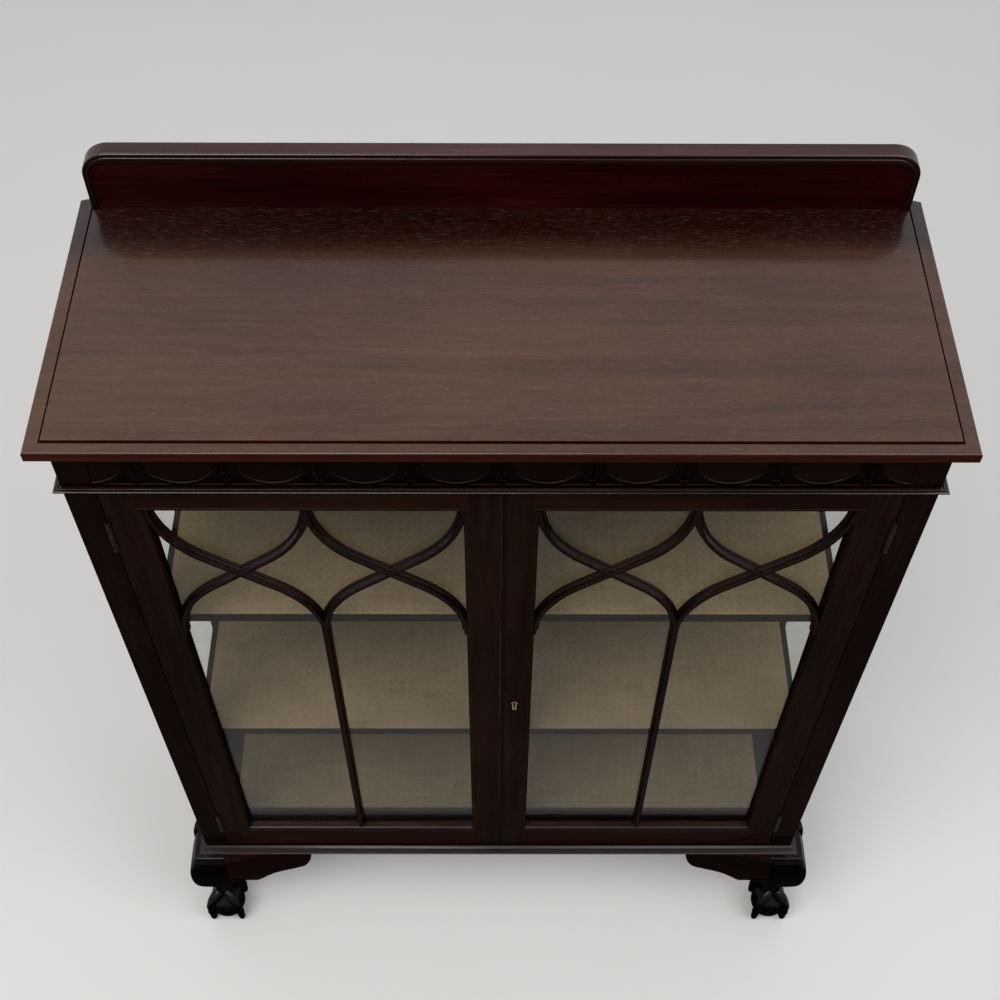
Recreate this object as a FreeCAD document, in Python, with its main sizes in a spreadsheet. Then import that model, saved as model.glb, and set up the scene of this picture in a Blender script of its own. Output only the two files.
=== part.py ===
import FreeCAD, Part
import Sketcher
import math
import os

# Glazed display cabinet on cabriole legs. Millimetres, +Z up, +Y to the back.
# The origin is on the floor under the middle of the carcass.

os.makedirs("parts", exist_ok=True)
doc = FreeCAD.newDocument("display_cabinet")

DIMENSIONS = {
    # carcass
    "carcass_width": 880.0,
    "carcass_depth": 328.0,
    "carcass_height": 970.0,
    "leg_height": 240.0,
    # top board and gallery
    "top_thickness": 18.0,
    "top_overhang": 17.0,
    "top_border_front": 13.0,
    "top_border_side": 17.5,
    "top_step": 2.0,
    "top_nose_radius": 4.5,
    "top_under_radius": 4.0,
    "gallery_height": 76.0,
    "gallery_thickness": 16.0,
    "gallery_corner_radius": 30.0,
    "gallery_bead_depth": 3.0,
    "wide_reed": 8.0,
    "narrow_reed": 5.5,
    "reed_rise": 1.6,
    # base board
    "base_thickness": 18.0,
    "base_projection": 11.0,
    "base_upper_projection": 8.0,
    "base_upper_height": 7.0,
    "base_nose_radius": 2.5,
    # corner posts
    "post_face": 32.5,
    "post_depth": 40.0,
    "post_stop": 5.5,
    "side_lip": 9.0,
    "side_frame_thickness": 20.0,
    "side_rebate": 6.0,
    "back_rebate": 17.5,
    "back_rebate_depth": 12.0,
    # rails between the posts
    "frieze_height": 67.0,
    "side_top_rail_height": 108.5,
    "side_bottom_rail_height": 53.0,
    "stop_rail_height": 24.0,
    "stop_rail_lap": 8.0,
    "back_rail_height": 40.0,
    "back_rail_thickness": 18.0,
    "back_panel_thickness": 6.0,
    # carved frieze and waist moulding
    "fret_relief": 1.5,
    "fret_margin": 4.0,
    "fret_fillet_height": 2.5,
    "waist_height": 6.0,
    "waist_projection": 6.0,
    "waist_edge": 3.0,
    # floor, shelves and cloth
    "floor_thickness": 24.0,
    "floor_cloth_setback": 25.0,
    "shelf_thickness": 17.0,
    "shelf_setback": 30.0,
    "shelf_end_gap": 1.0,
    "shelf_spacing": 294.5,
    "cloth_thickness": 1.2,
    "cloth_margin": 8.0,
    "bearer_width": 12.0,
    "bearer_height": 16.0,
    # doors
    "door_thickness": 20.0,
    "door_stop_gap": 1.0,
    "door_side_gap": 1.2,
    "door_top_gap": 2.0,
    "door_bottom_gap": 1.5,
    "meeting_gap": 1.5,
    "hinge_stile_width": 34.3,
    "meeting_stile_width": 32.25,
    "door_top_rail_height": 33.5,
    "door_bottom_rail_height": 45.5,
    "tenon_length": 22.0,
    "tenon_thickness": 7.0,
    "tenon_shoulder": 6.0,
    "sight_width": 6.0,
    "sight_depth": 12.0,
    "sight_round": 4.0,
    "glass_thickness": 3.0,
    "glass_clearance": 0.5,
    "glass_bead_width": 6.0,
    "cock_bead_width": 4.5,
    "cock_bead_rise": 0.8,
    # glazing bars
    "bar_width": 11.0,
    "bar_nib_width": 5.0,
    "bar_depth": 10.0,
    "bar_shoulder": 4.0,
    "ogee_height": 252.0,
    "ogee_rise": 2.5,
    # hinges
    "hinge_length": 54.0,
    "hinge_from_top": 55.0,
    "hinge_from_bottom": 48.0,
    "leaf_width": 18.0,
    "leaf_thickness": 1.2,
    "knuckle_radius": 3.0,
    "pin_radius": 1.5,
    "pin_forward": 1.0,
    "pin_clearance": 0.05,
    "knuckle_gap": 0.3,
    "knuckle_clearance": 0.4,
    # lock
    "lock_height": 704.0,
    "lock_case_width": 28.0,
    "lock_case_height": 38.0,
    "lock_case_depth": 8.0,
    "lock_plate": 1.5,
    "lock_bolt_length": 22.0,
    "lock_bolt_height": 14.0,
    "lock_bolt_thickness": 5.0,
    "talon_depth": 4.5,
    "lock_throw": 7.0,
    "lock_clearance": 0.2,
    "mortice_clearance": 0.7,
    "keyhole_offset": 17.5,
    "keyhole_radius": 2.6,
    "keyhole_drop": 15.0,
    "keyhole_slot": 2.4,
    "escutcheon_wall": 1.2,
    "escutcheon_depth": 4.0,
    "escutcheon_rise": 0.4,
    # slide bolts of the left door
    "slide_case_width": 14.0,
    "slide_case_height": 44.0,
    "slide_case_depth": 8.0,
    "slide_bolt_inset": 17.0,
    "slide_bolt_width": 5.0,
    "slide_bolt_thickness": 4.0,
    "slide_bolt_length": 40.0,
    "slide_bolt_standoff": 4.0,
    "slide_bolt_clearance": 0.1,
    "slide_bolt_throw": 11.0,
    "slide_bolt_gap": 3.0,
    "slide_socket_clearance": 1.0,
    "slide_socket_depth": 12.0,
    "slide_knob_radius": 2.5,
    "slide_knob_length": 9.0,
    # legs
    "knee_reach": 32.0,
    "leg_top_reach": 20.0,
    "shin_reach": 18.0,
    "ankle_reach": -4.0,
    "foot_reach": 12.0,
    "leg_inner": 41.0,
    "ankle_inner": 30.0,
    "foot_inner": 22.0,
    "knee_bulge": 13.0,
    "calf_bulge": 3.5,
    "foot_half": 28.0,
    "ball_radius": 26.5,
    "toe_width": 11.0,
    "ball_lift": 0.5,
    "ear_length": 120.0,
    "side_ear_length": 96.0,
    "ear_height": 116.0,
    "ear_tip_front": 4.0,
    "ear_root_front": 25.0,
    "ear_top_front": 22.0,
    "ear_edge_front": 3.0,
    "ear_thickness": 20.0,
    "ear_swell_radius": 80.0,
    "ear_hollow_radius": 90.0,
}

sheet = doc.addObject("Spreadsheet::Sheet", "dims")
for row, (word, number) in enumerate(DIMENSIONS.items(), 1):
    sheet.set(f"A{row}", word)
    sheet.set(f"B{row}", str(number))
    sheet.setAlias(f"B{row}", word)
doc.recompute()


class Size:
    """A length together with the formula that gives it from the sheet."""

    def __init__(self, value, text):
        self.value = value
        self.text = text

    def __add__(self, other):
        other = as_size(other)
        return Size(self.value + other.value, f"({self.text} + {other.text})")

    def __sub__(self, other):
        other = as_size(other)
        return Size(self.value - other.value, f"({self.text} - {other.text})")

    def __mul__(self, other):
        other = as_size(other)
        return Size(self.value * other.value, f"({self.text} * {other.text})")

    def __truediv__(self, other):
        other = as_size(other)
        return Size(self.value / other.value, f"({self.text} / {other.text})")

    def __neg__(self):
        return Size(-self.value, f"(0 - {self.text})")

    __radd__ = __add__
    __rmul__ = __mul__


def as_size(number):
    return number if isinstance(number, Size) else Size(float(number), f"({float(number)})")


def root(size):
    return Size(math.sqrt(size.value), f"sqrt({size.text})")


class Named:
    """The sheet's sizes by name."""

    def __getattr__(self, word):
        return Size(float(DIMENSIONS[word]), f"dims.{word}")


d = Named()
ZERO = as_size(0)

# Places that several pieces share.
half_width = d.carcass_width / 2
front = -d.carcass_depth / 2
back = d.carcass_depth / 2
base_bottom = d.leg_height
base_top = base_bottom + d.base_thickness
carcass_top = base_top + d.carcass_height
board_top = carcass_top + d.top_thickness
frieze_bottom = carcass_top - d.frieze_height
opening_half = half_width - d.post_face
stop_half = opening_half - d.post_stop
door_back = front + d.door_thickness
stop_face = door_back + d.door_stop_gap
post_back = front + d.post_depth
rear_post_front = back - d.post_depth
panel_front = back - d.back_rebate_depth
panel_half = stop_half + d.back_rebate
side_inner = half_width - d.side_frame_thickness
side_lip_face = half_width - d.side_lip
side_sight_top = carcass_top - d.side_top_rail_height
side_sight_bottom = base_top + d.side_bottom_rail_height
floor_top = base_top + d.floor_thickness
floor_cloth_top = floor_top + d.cloth_thickness
lower_shelf_top = floor_top + d.shelf_spacing
upper_shelf_top = lower_shelf_top + d.shelf_spacing
shelf_front = front + d.shelf_setback
shelf_half = stop_half - d.shelf_end_gap
door_outer = opening_half - d.door_side_gap
door_inner = d.meeting_gap / 2
door_bottom = base_top + d.door_bottom_gap
door_top = frieze_bottom - d.door_top_gap
stile_outer = door_outer - d.hinge_stile_width
stile_inner = door_inner + d.meeting_stile_width
rail_low = door_bottom + d.door_bottom_rail_height
rail_high = door_top - d.door_top_rail_height
sight_outer = stile_outer - d.sight_width
sight_inner = stile_inner + d.sight_width
sight_low = rail_low + d.sight_width
sight_high = rail_high - d.sight_width
glass_front = front + d.sight_depth
glass_back = glass_front + d.glass_thickness
pin_x = opening_half - d.door_side_gap / 2
pin_y = front - d.pin_forward

NODES = {}


def keep(obj, label):
    """Make a finished object one of the cabinet's named pieces."""
    obj.Label = label
    NODES[label] = obj
    return obj


def bind(obj, path, size):
    obj.setExpression(path, as_size(size).text)


def place(obj, x=None, y=None, z=None):
    for axis, size in zip("xyz", (x, y, z)):
        if size is not None:
            bind(obj, f"Placement.Base.{axis}", size)


def box(name, x, y, z, side=1):
    """A box between pairs of places. Side -1 mirrors it to the left half."""
    if side < 0:
        x = (-as_size(x[1]), -as_size(x[0]))
    obj = doc.addObject("Part::Box", name)
    for edge, axis, (low, high) in zip(("Length", "Width", "Height"), "xyz", (x, y, z)):
        bind(obj, edge, as_size(high) - low)
        bind(obj, f"Placement.Base.{axis}", low)
    return obj


def rod(name, radius, length, base, axis="z"):
    """A cylinder from its base point along an axis."""
    obj = doc.addObject("Part::Cylinder", name)
    bind(obj, "Radius", radius)
    bind(obj, "Height", length)
    obj.Placement.Rotation = FreeCAD.Rotation(FreeCAD.Vector(1, 0, 0), {"z": 0, "y": -90}[axis])
    place(obj, *base)
    return obj


def cut(name, base, tool):
    obj = doc.addObject("Part::Cut", name)
    obj.Base = base
    obj.Tool = tool
    return obj


def cut_all(name, base, tools):
    """One piece less several tools."""
    if len(tools) == 1:
        return cut(name, base, tools[0])
    return cut(name, base, fuse(name + "_tools", tools))


def fuse(name, shapes):
    obj = doc.addObject("Part::MultiFuse", name)
    obj.Shapes = shapes
    return obj


def common(name, base, tool):
    obj = doc.addObject("Part::Common", name)
    obj.Base = base
    obj.Tool = tool
    return obj


def group(name, shapes):
    """Separate solids that share one node."""
    obj = doc.addObject("Part::Compound", name)
    obj.Links = shapes
    return obj


def mirrored(name, source, normal, through=(0, 0)):
    """A mirror image in an upright plane through a place of the floor."""
    obj = doc.addObject("Part::Mirroring", name)
    obj.Source = source
    obj.Normal = normal
    bind(obj, "Base.x", through[0])
    bind(obj, "Base.y", through[1])
    return obj


def extrusion(name, sketch, direction, length):
    obj = doc.addObject("Part::Extrusion", name)
    obj.Base = sketch
    obj.DirMode = "Custom"
    obj.Dir = direction
    obj.Solid = True
    bind(obj, "LengthFwd", length)
    return obj


def arc_through(start, end, radius):
    """Arc of a circle from start to end. A positive radius bends it to the right of the run."""
    chord = end - start
    normal = FreeCAD.Vector(chord.y, -chord.x, 0).normalize()
    size = abs(radius)
    sign = 1 if radius > 0 else -1
    height = math.sqrt(max(size * size - (chord.Length / 2) ** 2, 0))
    middle = (start + end) / 2
    centre = middle - normal * (sign * height)
    crown = centre + normal * (sign * size)
    return Part.Arc(start, crown, end), centre


def draw(sketch, points, closed=True):
    """Draw an outline with every corner and radius bound to the sheet.

    A point is (x, y), or (x, y, radius) where an arc runs to the next point.
    A positive radius bends the arc to the right of the run."""
    runs = list(zip(points, points[1:] + points[:1]))
    if not closed:
        runs = runs[:-1]
    corners = [FreeCAD.Vector(as_size(p[0]).value, as_size(p[1]).value, 0) for p in points]
    starts = []
    ends = []
    radii = []
    for index, (point, _) in enumerate(runs):
        start = corners[index]
        end = corners[(index + 1) % len(corners)]
        if len(point) == 2:
            sketch.addGeometry(Part.LineSegment(start, end), False)
            starts.append(1)
            ends.append(2)
            continue
        arc, centre = arc_through(start, end, point[2].value)
        number = sketch.addGeometry(arc, False)
        first = sketch.getPoint(number, 1)
        forward = (first - start).Length < (first - end).Length
        starts.append(1 if forward else 2)
        ends.append(2 if forward else 1)
        radii.append((number, point[2]))
    constraints = []
    sizes = []
    for index, (point, _) in enumerate(runs):
        for kind, size in (("DistanceX", point[0]), ("DistanceY", point[1])):
            constraints.append(
                Sketcher.Constraint(kind, -1, 1, index, starts[index], as_size(size).value))
            sizes.append(as_size(size))
    if not closed:
        last = len(runs) - 1
        for kind, size in (("DistanceX", points[-1][0]), ("DistanceY", points[-1][1])):
            constraints.append(Sketcher.Constraint(kind, -1, 1, last, ends[last], as_size(size).value))
            sizes.append(as_size(size))
    for number, radius in radii:
        positive = radius if radius.value > 0 else -radius
        constraints.append(Sketcher.Constraint("Radius", number, positive.value))
        sizes.append(positive)
    for index in range(len(runs)):
        following = index + 1
        if following == len(runs):
            if not closed:
                break
            following = 0
        constraints.append(
            Sketcher.Constraint("Coincident", index, ends[index], following, starts[following]))
    sketch.addConstraint(constraints)
    for number, size in enumerate(sizes):
        sketch.setExpression(f"Constraints[{number}]", size.text)
    return sketch


X_AXIS = FreeCAD.Vector(1, 0, 0)
Y_AXIS = FreeCAD.Vector(0, 1, 0)
Z_AXIS = FreeCAD.Vector(0, 0, 1)


def free_sketch(name, plane, points, offset=ZERO, closed=True):
    """A sketch outside any body: plane xy, xz or yz, standing off from the origin."""
    sketch = doc.addObject("Sketcher::SketchObject", name)
    turns = {
        "xy": FreeCAD.Rotation(),
        "xz": FreeCAD.Rotation(X_AXIS, 90),
        "yz": FreeCAD.Rotation(FreeCAD.Vector(1, 1, 1), 120),
    }
    sketch.Placement.Rotation = turns[plane]
    bind(sketch, "Placement.Base." + {"xy": "z", "xz": "y", "yz": "x"}[plane], offset)
    return draw(sketch, points, closed)


def plate(name, plane, points, low, high):
    """An outline made solid between two places along the plane's axis."""
    direction = {"xy": Z_AXIS, "xz": Y_AXIS, "yz": X_AXIS}[plane]
    sketch = free_sketch(name + "_outline", plane, points, low)
    return extrusion(name, sketch, direction, as_size(high) - low)


def body_sketch(body, name, role, points, offset=ZERO):
    """A sketch on one of a body's own origin planes."""
    sketch = body.newObject("Sketcher::SketchObject", name)
    plane = [item for item in body.Origin.OriginFeatures if item.Role == role][0]
    sketch.AttachmentSupport = (plane, [""])
    sketch.MapMode = "FlatFace"
    bind(sketch, "AttachmentOffset.Base.z", offset)
    return draw(sketch, points)


def pad(body, name, sketch, length):
    feature = body.newObject("PartDesign::Pad", name)
    feature.Profile = sketch
    bind(feature, "Length", length)
    body.Tip = feature
    return feature


EVEN = 1e-6


def fillet(body, name, base, radius, wanted):
    """Round the edges of a body's feature that the test picks."""
    doc.recompute()
    names = [f"Edge{n}" for n, edge in enumerate(base.Shape.Edges, 1) if wanted(edge, base.Shape.BoundBox)]
    feature = body.newObject("PartDesign::Fillet", name)
    feature.Base = (base, names)
    bind(feature, "Radius", radius)
    body.Tip = feature
    return feature


def rim(level):
    """Test for the edges along the front and the sides at a board's top or bottom."""
    def wanted(edge, bounds):
        height = bounds.ZMax if level == "top" else bounds.ZMin
        low, high = edge.BoundBox.ZMin, edge.BoundBox.ZMax
        flat = abs(low - height) < EVEN and abs(high - height) < EVEN
        return flat and edge.BoundBox.YMin < bounds.YMax - EVEN
    return wanted


def rectangle(x, y):
    return [(x[0], y[0]), (x[1], y[0]), (x[1], y[1]), (x[0], y[1])]


# Top board: a moulded edge round the front and sides, and a field raised by one small step.
def make_top_board():
    body = doc.addObject("PartDesign::Body", "top_body")
    board_half = half_width + d.top_overhang
    board_front = front - d.top_overhang
    outline = rectangle((-board_half, board_half), (board_front, back))
    edge_height = d.top_thickness - d.top_step
    slab = pad(body, "top_slab", body_sketch(body, "top_outline", "XY_Plane", outline, carcass_top),
               edge_height)
    nose = fillet(body, "top_nose", slab, d.top_nose_radius, rim("top"))
    under = fillet(body, "top_under", nose, d.top_under_radius, rim("bottom"))
    field_half = board_half - d.top_border_side
    field = rectangle((-field_half, field_half),
                      (board_front + d.top_border_front, gallery_front - d.gallery_bead_depth))
    sketch = body_sketch(body, "field_outline", "XY_Plane", field, carcass_top + edge_height)
    body.Tip = under
    pad(body, "top_field", sketch, d.top_step)
    keep(body, "top_board")


# Gallery: an upstand behind the top's raised field, with rounded ends and a double reed
# along its front rim.
# A reed has two slopes, each this share of its width, and a flat crown.
REED_SLOPE_SHARE = 0.27
gallery_top = board_top + d.gallery_height
gallery_foot = board_top - d.top_step
gallery_front = back - d.gallery_thickness


def gallery_rim():
    """The gallery's outline from its left foot over the top to its right foot."""
    radius = d.gallery_corner_radius
    spring = gallery_top - radius
    shoulder = half_width - radius
    return [(-half_width, gallery_foot), (-half_width, spring, -radius), (-shoulder, gallery_top),
            (shoulder, gallery_top, -radius), (half_width, spring), (half_width, gallery_foot)]


def make_gallery():
    body = doc.addObject("PartDesign::Body", "gallery_body")
    sketch = body_sketch(body, "gallery_outline", "XZ_Plane", gallery_rim(), -back)
    pad(body, "gallery_board_pad", sketch, d.gallery_thickness)
    keep(body, "gallery_board")

    path = free_sketch("bead_path", "xz", gallery_rim(), gallery_front, closed=False)
    edge = -half_width
    rise = gallery_front - d.gallery_bead_depth
    groove = rise + d.reed_rise
    reeds = [(edge, gallery_front)]
    for width in (d.narrow_reed, d.wide_reed):
        slope = width * REED_SLOPE_SHARE
        reeds += [(edge, groove), (edge + slope, rise), (edge + width - slope, rise)]
        edge = edge + width
    reeds += [(edge, groove), (edge, gallery_front)]
    section = free_sketch("bead_section", "xy", reeds, gallery_foot)
    keep(sweep("gallery_bead_sweep", section, path), "gallery_bead")


def sweep(name, section, path):
    obj = doc.addObject("Part::Sweep", name)
    obj.Sections = [section]
    obj.Spine = (path, [f"Edge{n}" for n in range(1, path.GeometryCount + 1)])
    obj.Solid = True
    obj.Frenet = False
    return obj


# Base board: two tiers with rounded edges under the carcass.
def make_base_board():
    body = doc.addObject("PartDesign::Body", "base_body")
    lower_half = half_width + d.base_projection
    lower = rectangle((-lower_half, lower_half), (front - d.base_projection, back))
    lower_height = d.base_thickness - d.base_upper_height
    slab = pad(body, "base_slab", body_sketch(body, "base_outline", "XY_Plane", lower, base_bottom),
               lower_height)
    nose = fillet(body, "base_nose", slab, d.base_nose_radius, rim("top"))
    upper_half = half_width + d.base_upper_projection
    upper = rectangle((-upper_half, upper_half), (front - d.base_upper_projection, back))
    sketch = body_sketch(body, "base_upper_outline", "XY_Plane", upper, base_bottom + lower_height)
    body.Tip = nose
    tier = pad(body, "base_tier", sketch, d.base_upper_height)
    fillet(body, "base_upper_nose", tier, d.base_nose_radius, rim("top"))
    keep(body, "base_board")


def hinge_spans():
    """The low and high ends of each hinge."""
    upper = door_top - d.hinge_from_top
    lower = door_bottom + d.hinge_from_bottom
    return (("upper", upper - d.hinge_length, upper), ("lower", lower, lower + d.hinge_length))


def knuckle_room(name, side, low, high):
    """The hollow for a hinge's knuckle in the post and the stile."""
    radius = d.knuckle_radius + d.knuckle_clearance
    return rod(name, radius, high - low, (pin_x * side, pin_y, low))


# Corner posts: rebated at the front for the doors, at the side for the glass
# and at the back for the panel.
def make_posts():
    glass_rebate = (side_inner, side_lip_face)
    for side, hand in ((-1, "left"), (1, "right")):
        name = f"{hand}_front_post"
        face = box(name + "_face", (opening_half, half_width), (front, stop_face),
                   (base_top, carcass_top), side)
        stop = box(name + "_stop", (stop_half, half_width), (stop_face, post_back),
                   (base_top, carcass_top), side)
        tools = [box(name + "_glass", glass_rebate, (post_back - d.side_rebate, post_back),
                     (base_top, carcass_top), side)]
        for place_name, low, high in hinge_spans():
            tools.append(knuckle_room(f"{name}_{place_name}_knuckle", side, low, high))
            tools.append(box(f"{name}_{place_name}_leaf", (opening_half, opening_half + d.leaf_thickness),
                             (pin_y, front + d.leaf_width), (low, high), side))
        keep(cut_all(name, fuse(name + "_blank", [face, stop]), tools), name)

        name = f"{hand}_rear_post"
        blank = box(name + "_blank", (stop_half, half_width), (rear_post_front, back),
                    (base_top, carcass_top), side)
        tools = [
            box(name + "_glass", glass_rebate, (rear_post_front, rear_post_front + d.side_rebate),
                (base_top, carcass_top), side),
            box(name + "_panel", (stop_half, panel_half), (panel_front, back), (base_top, carcass_top), side),
        ]
        keep(cut_all(name, blank, tools), name)


# Side frames: rails rebated for the glass, and beads that hold it from inside.
def make_sides():
    bead_solids = []
    bead_y = (post_back - d.side_rebate, rear_post_front + d.side_rebate)
    inner_y = (post_back, rear_post_front)
    low_bead = (side_sight_bottom - d.side_rebate, side_sight_bottom)
    high_bead = (side_sight_top, side_sight_top + d.side_rebate)
    bead_x = (side_inner, side_lip_face - d.glass_thickness)
    for side, hand in ((-1, "left"), (1, "right")):
        name = f"{hand}_side_top_rail"
        blank = box(name + "_blank", (side_inner, half_width), inner_y, (side_sight_top, carcass_top), side)
        keep(cut(name, blank, box(name + "_rebate", (side_inner, side_lip_face), inner_y, high_bead, side)),
             name)
        name = f"{hand}_side_bottom_rail"
        blank = box(name + "_blank", (side_inner, half_width), inner_y, (base_top, side_sight_bottom), side)
        keep(cut(name, blank, box(name + "_rebate", (side_inner, side_lip_face), inner_y, low_bead, side)),
             name)
        keep(box(f"{hand}_side_pane", (side_lip_face - d.glass_thickness, side_lip_face),
                 (bead_y[0] + d.glass_clearance, bead_y[1] - d.glass_clearance),
                 (low_bead[0] + d.glass_clearance, high_bead[1] - d.glass_clearance), side),
             f"{hand}_side_glass")
        for part, y, z in (
                ("low", inner_y, low_bead), ("high", inner_y, high_bead),
                ("front", (bead_y[0], inner_y[0]), (low_bead[0], high_bead[1])),
                ("rear", (inner_y[1], bead_y[1]), (low_bead[0], high_bead[1]))):
            bead_solids.append(box(f"{hand}_side_bead_{part}", bead_x, y, z, side))
    keep(group("side_beads_group", bead_solids), "side_glass_beads")


# Frieze: a board with a sunk panel between a fillet above the waist moulding and a top margin.
def make_frieze():
    blank = box("frieze_blank", (-opening_half, opening_half), (front, stop_face),
                (frieze_bottom, carcass_top))
    fillet_top = frieze_bottom + d.waist_height + d.fret_fillet_height
    panel = box("frieze_sunk_panel", (-opening_half, opening_half), (front, front + d.fret_relief),
                (fillet_top, carcass_top - d.fret_margin))
    keep(cut("frieze_board", blank, panel), "frieze")


# Waist moulding under the frieze, mitred at the two front corners.
def make_waist():
    reach = d.waist_projection
    low, high = frieze_bottom, frieze_bottom + d.waist_height
    step = low + d.waist_edge
    pieces = []
    outer = half_width + reach
    section = [(front - reach, low), (front, low), (front, high), (front - reach, step)]
    run = plate("waist_front_run", "yz", section, -outer, outer)
    tools = [mitre("front_mitre_right", half_width, -45), mitre("front_mitre_left", -half_width, -225)]
    pieces.append(cut_all("waist_front", run, tools))
    section = [(half_width, low), (outer, low), (outer, step), (half_width, high)]
    run = plate("waist_right_run", "xz", section, front - reach, back)
    right = cut("waist_right", run, mitre("side_mitre", half_width, -135))
    pieces.append(right)
    pieces.append(mirrored("waist_left", right, X_AXIS))
    keep(group("waist_group", pieces), "waist_moulding")


def mitre(name, x, angle):
    """A block with one corner at the carcass's front corner, turned to cut a mitre there."""
    size = d.waist_projection * 2
    block = doc.addObject("Part::Box", name)
    for edge in ("Length", "Width"):
        bind(block, edge, size)
    bind(block, "Height", d.waist_height)
    block.Placement.Rotation = FreeCAD.Rotation(Z_AXIS, angle)
    place(block, x, front, frieze_bottom)
    return block


# Stop rail behind the frieze, back rail and back panel.
def make_rails():
    rail_low_edge = door_top - d.stop_rail_lap
    blank = box("stop_rail_blank", (-stop_half, stop_half), (stop_face, post_back),
                (rail_low_edge, rail_low_edge + d.stop_rail_height))
    socket = slide_socket("top_socket", rail_low_edge, rail_low_edge + d.slide_socket_depth)
    keep(cut("stop_rail_piece", blank, socket), "door_stop_rail")
    keep(box("back_rail_piece", (-stop_half, stop_half), (panel_front - d.back_rail_thickness, panel_front),
             (carcass_top - d.back_rail_height, carcass_top)), "back_top_rail")
    keep(box("back_panel_piece", (-panel_half, panel_half),
             (panel_front, panel_front + d.back_panel_thickness), (base_top, carcass_top)), "back_panel")
    keep(box("back_cloth_piece", (-stop_half, stop_half), (panel_front - d.cloth_thickness, panel_front),
             (floor_cloth_top, carcass_top - d.back_rail_height)), "back_cloth")


# Floor and shelves, each with a cloth on top. The shelves lie on bearers between the posts.
def make_shelves():
    blank = box("floor_blank", (-side_inner, side_inner), (stop_face, panel_front), (base_top, floor_top))
    tools = []
    for side, hand in ((-1, "left"), (1, "right")):
        tools.append(box(f"floor_front_notch_{hand}", (stop_half, side_inner), (stop_face, post_back),
                         (base_top, floor_top), side))
        tools.append(box(f"floor_rear_notch_{hand}", (stop_half, side_inner), (rear_post_front, panel_front),
                         (base_top, floor_top), side))
    tools.append(slide_socket("bottom_socket", floor_top - d.slide_socket_depth, floor_top))
    keep(cut_all("floor_piece", blank, tools), "floor_board")
    keep(box("floor_cloth_piece", (-(stop_half - d.cloth_margin), stop_half - d.cloth_margin),
             (stop_face + d.floor_cloth_setback, panel_front), (floor_top, floor_cloth_top)), "floor_cloth")
    bearers = []
    cloths = []
    shelf_back = panel_front - d.cloth_thickness
    cloth_half = shelf_half - d.cloth_margin
    for level_name, level in (("lower", lower_shelf_top), ("upper", upper_shelf_top)):
        under_cloth = level - d.cloth_thickness
        under_shelf = under_cloth - d.shelf_thickness
        keep(box(f"{level_name}_shelf_piece", (-shelf_half, shelf_half), (shelf_front, shelf_back),
                 (under_shelf, under_cloth)), f"{level_name}_shelf")
        cloths.append(box(f"{level_name}_cloth", (-cloth_half, cloth_half), (shelf_front, shelf_back),
                          (under_cloth, level)))
        for side, hand in ((-1, "left"), (1, "right")):
            bearers.append(box(f"{level_name}_{hand}_bearer", (stop_half - d.bearer_width, stop_half),
                               (stop_face, shelf_back), (under_shelf - d.bearer_height, under_shelf), side))
    keep(group("cloth_group", cloths), "shelf_cloths")
    keep(group("bearer_group", bearers), "shelf_bearers")


# Doors: stiles and rails with stub tenons, a moulding round the sight, pane and beads.
def tenon_span(rail_bottom, rail_top):
    return (rail_bottom + d.tenon_shoulder, rail_top - d.tenon_shoulder)


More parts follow.
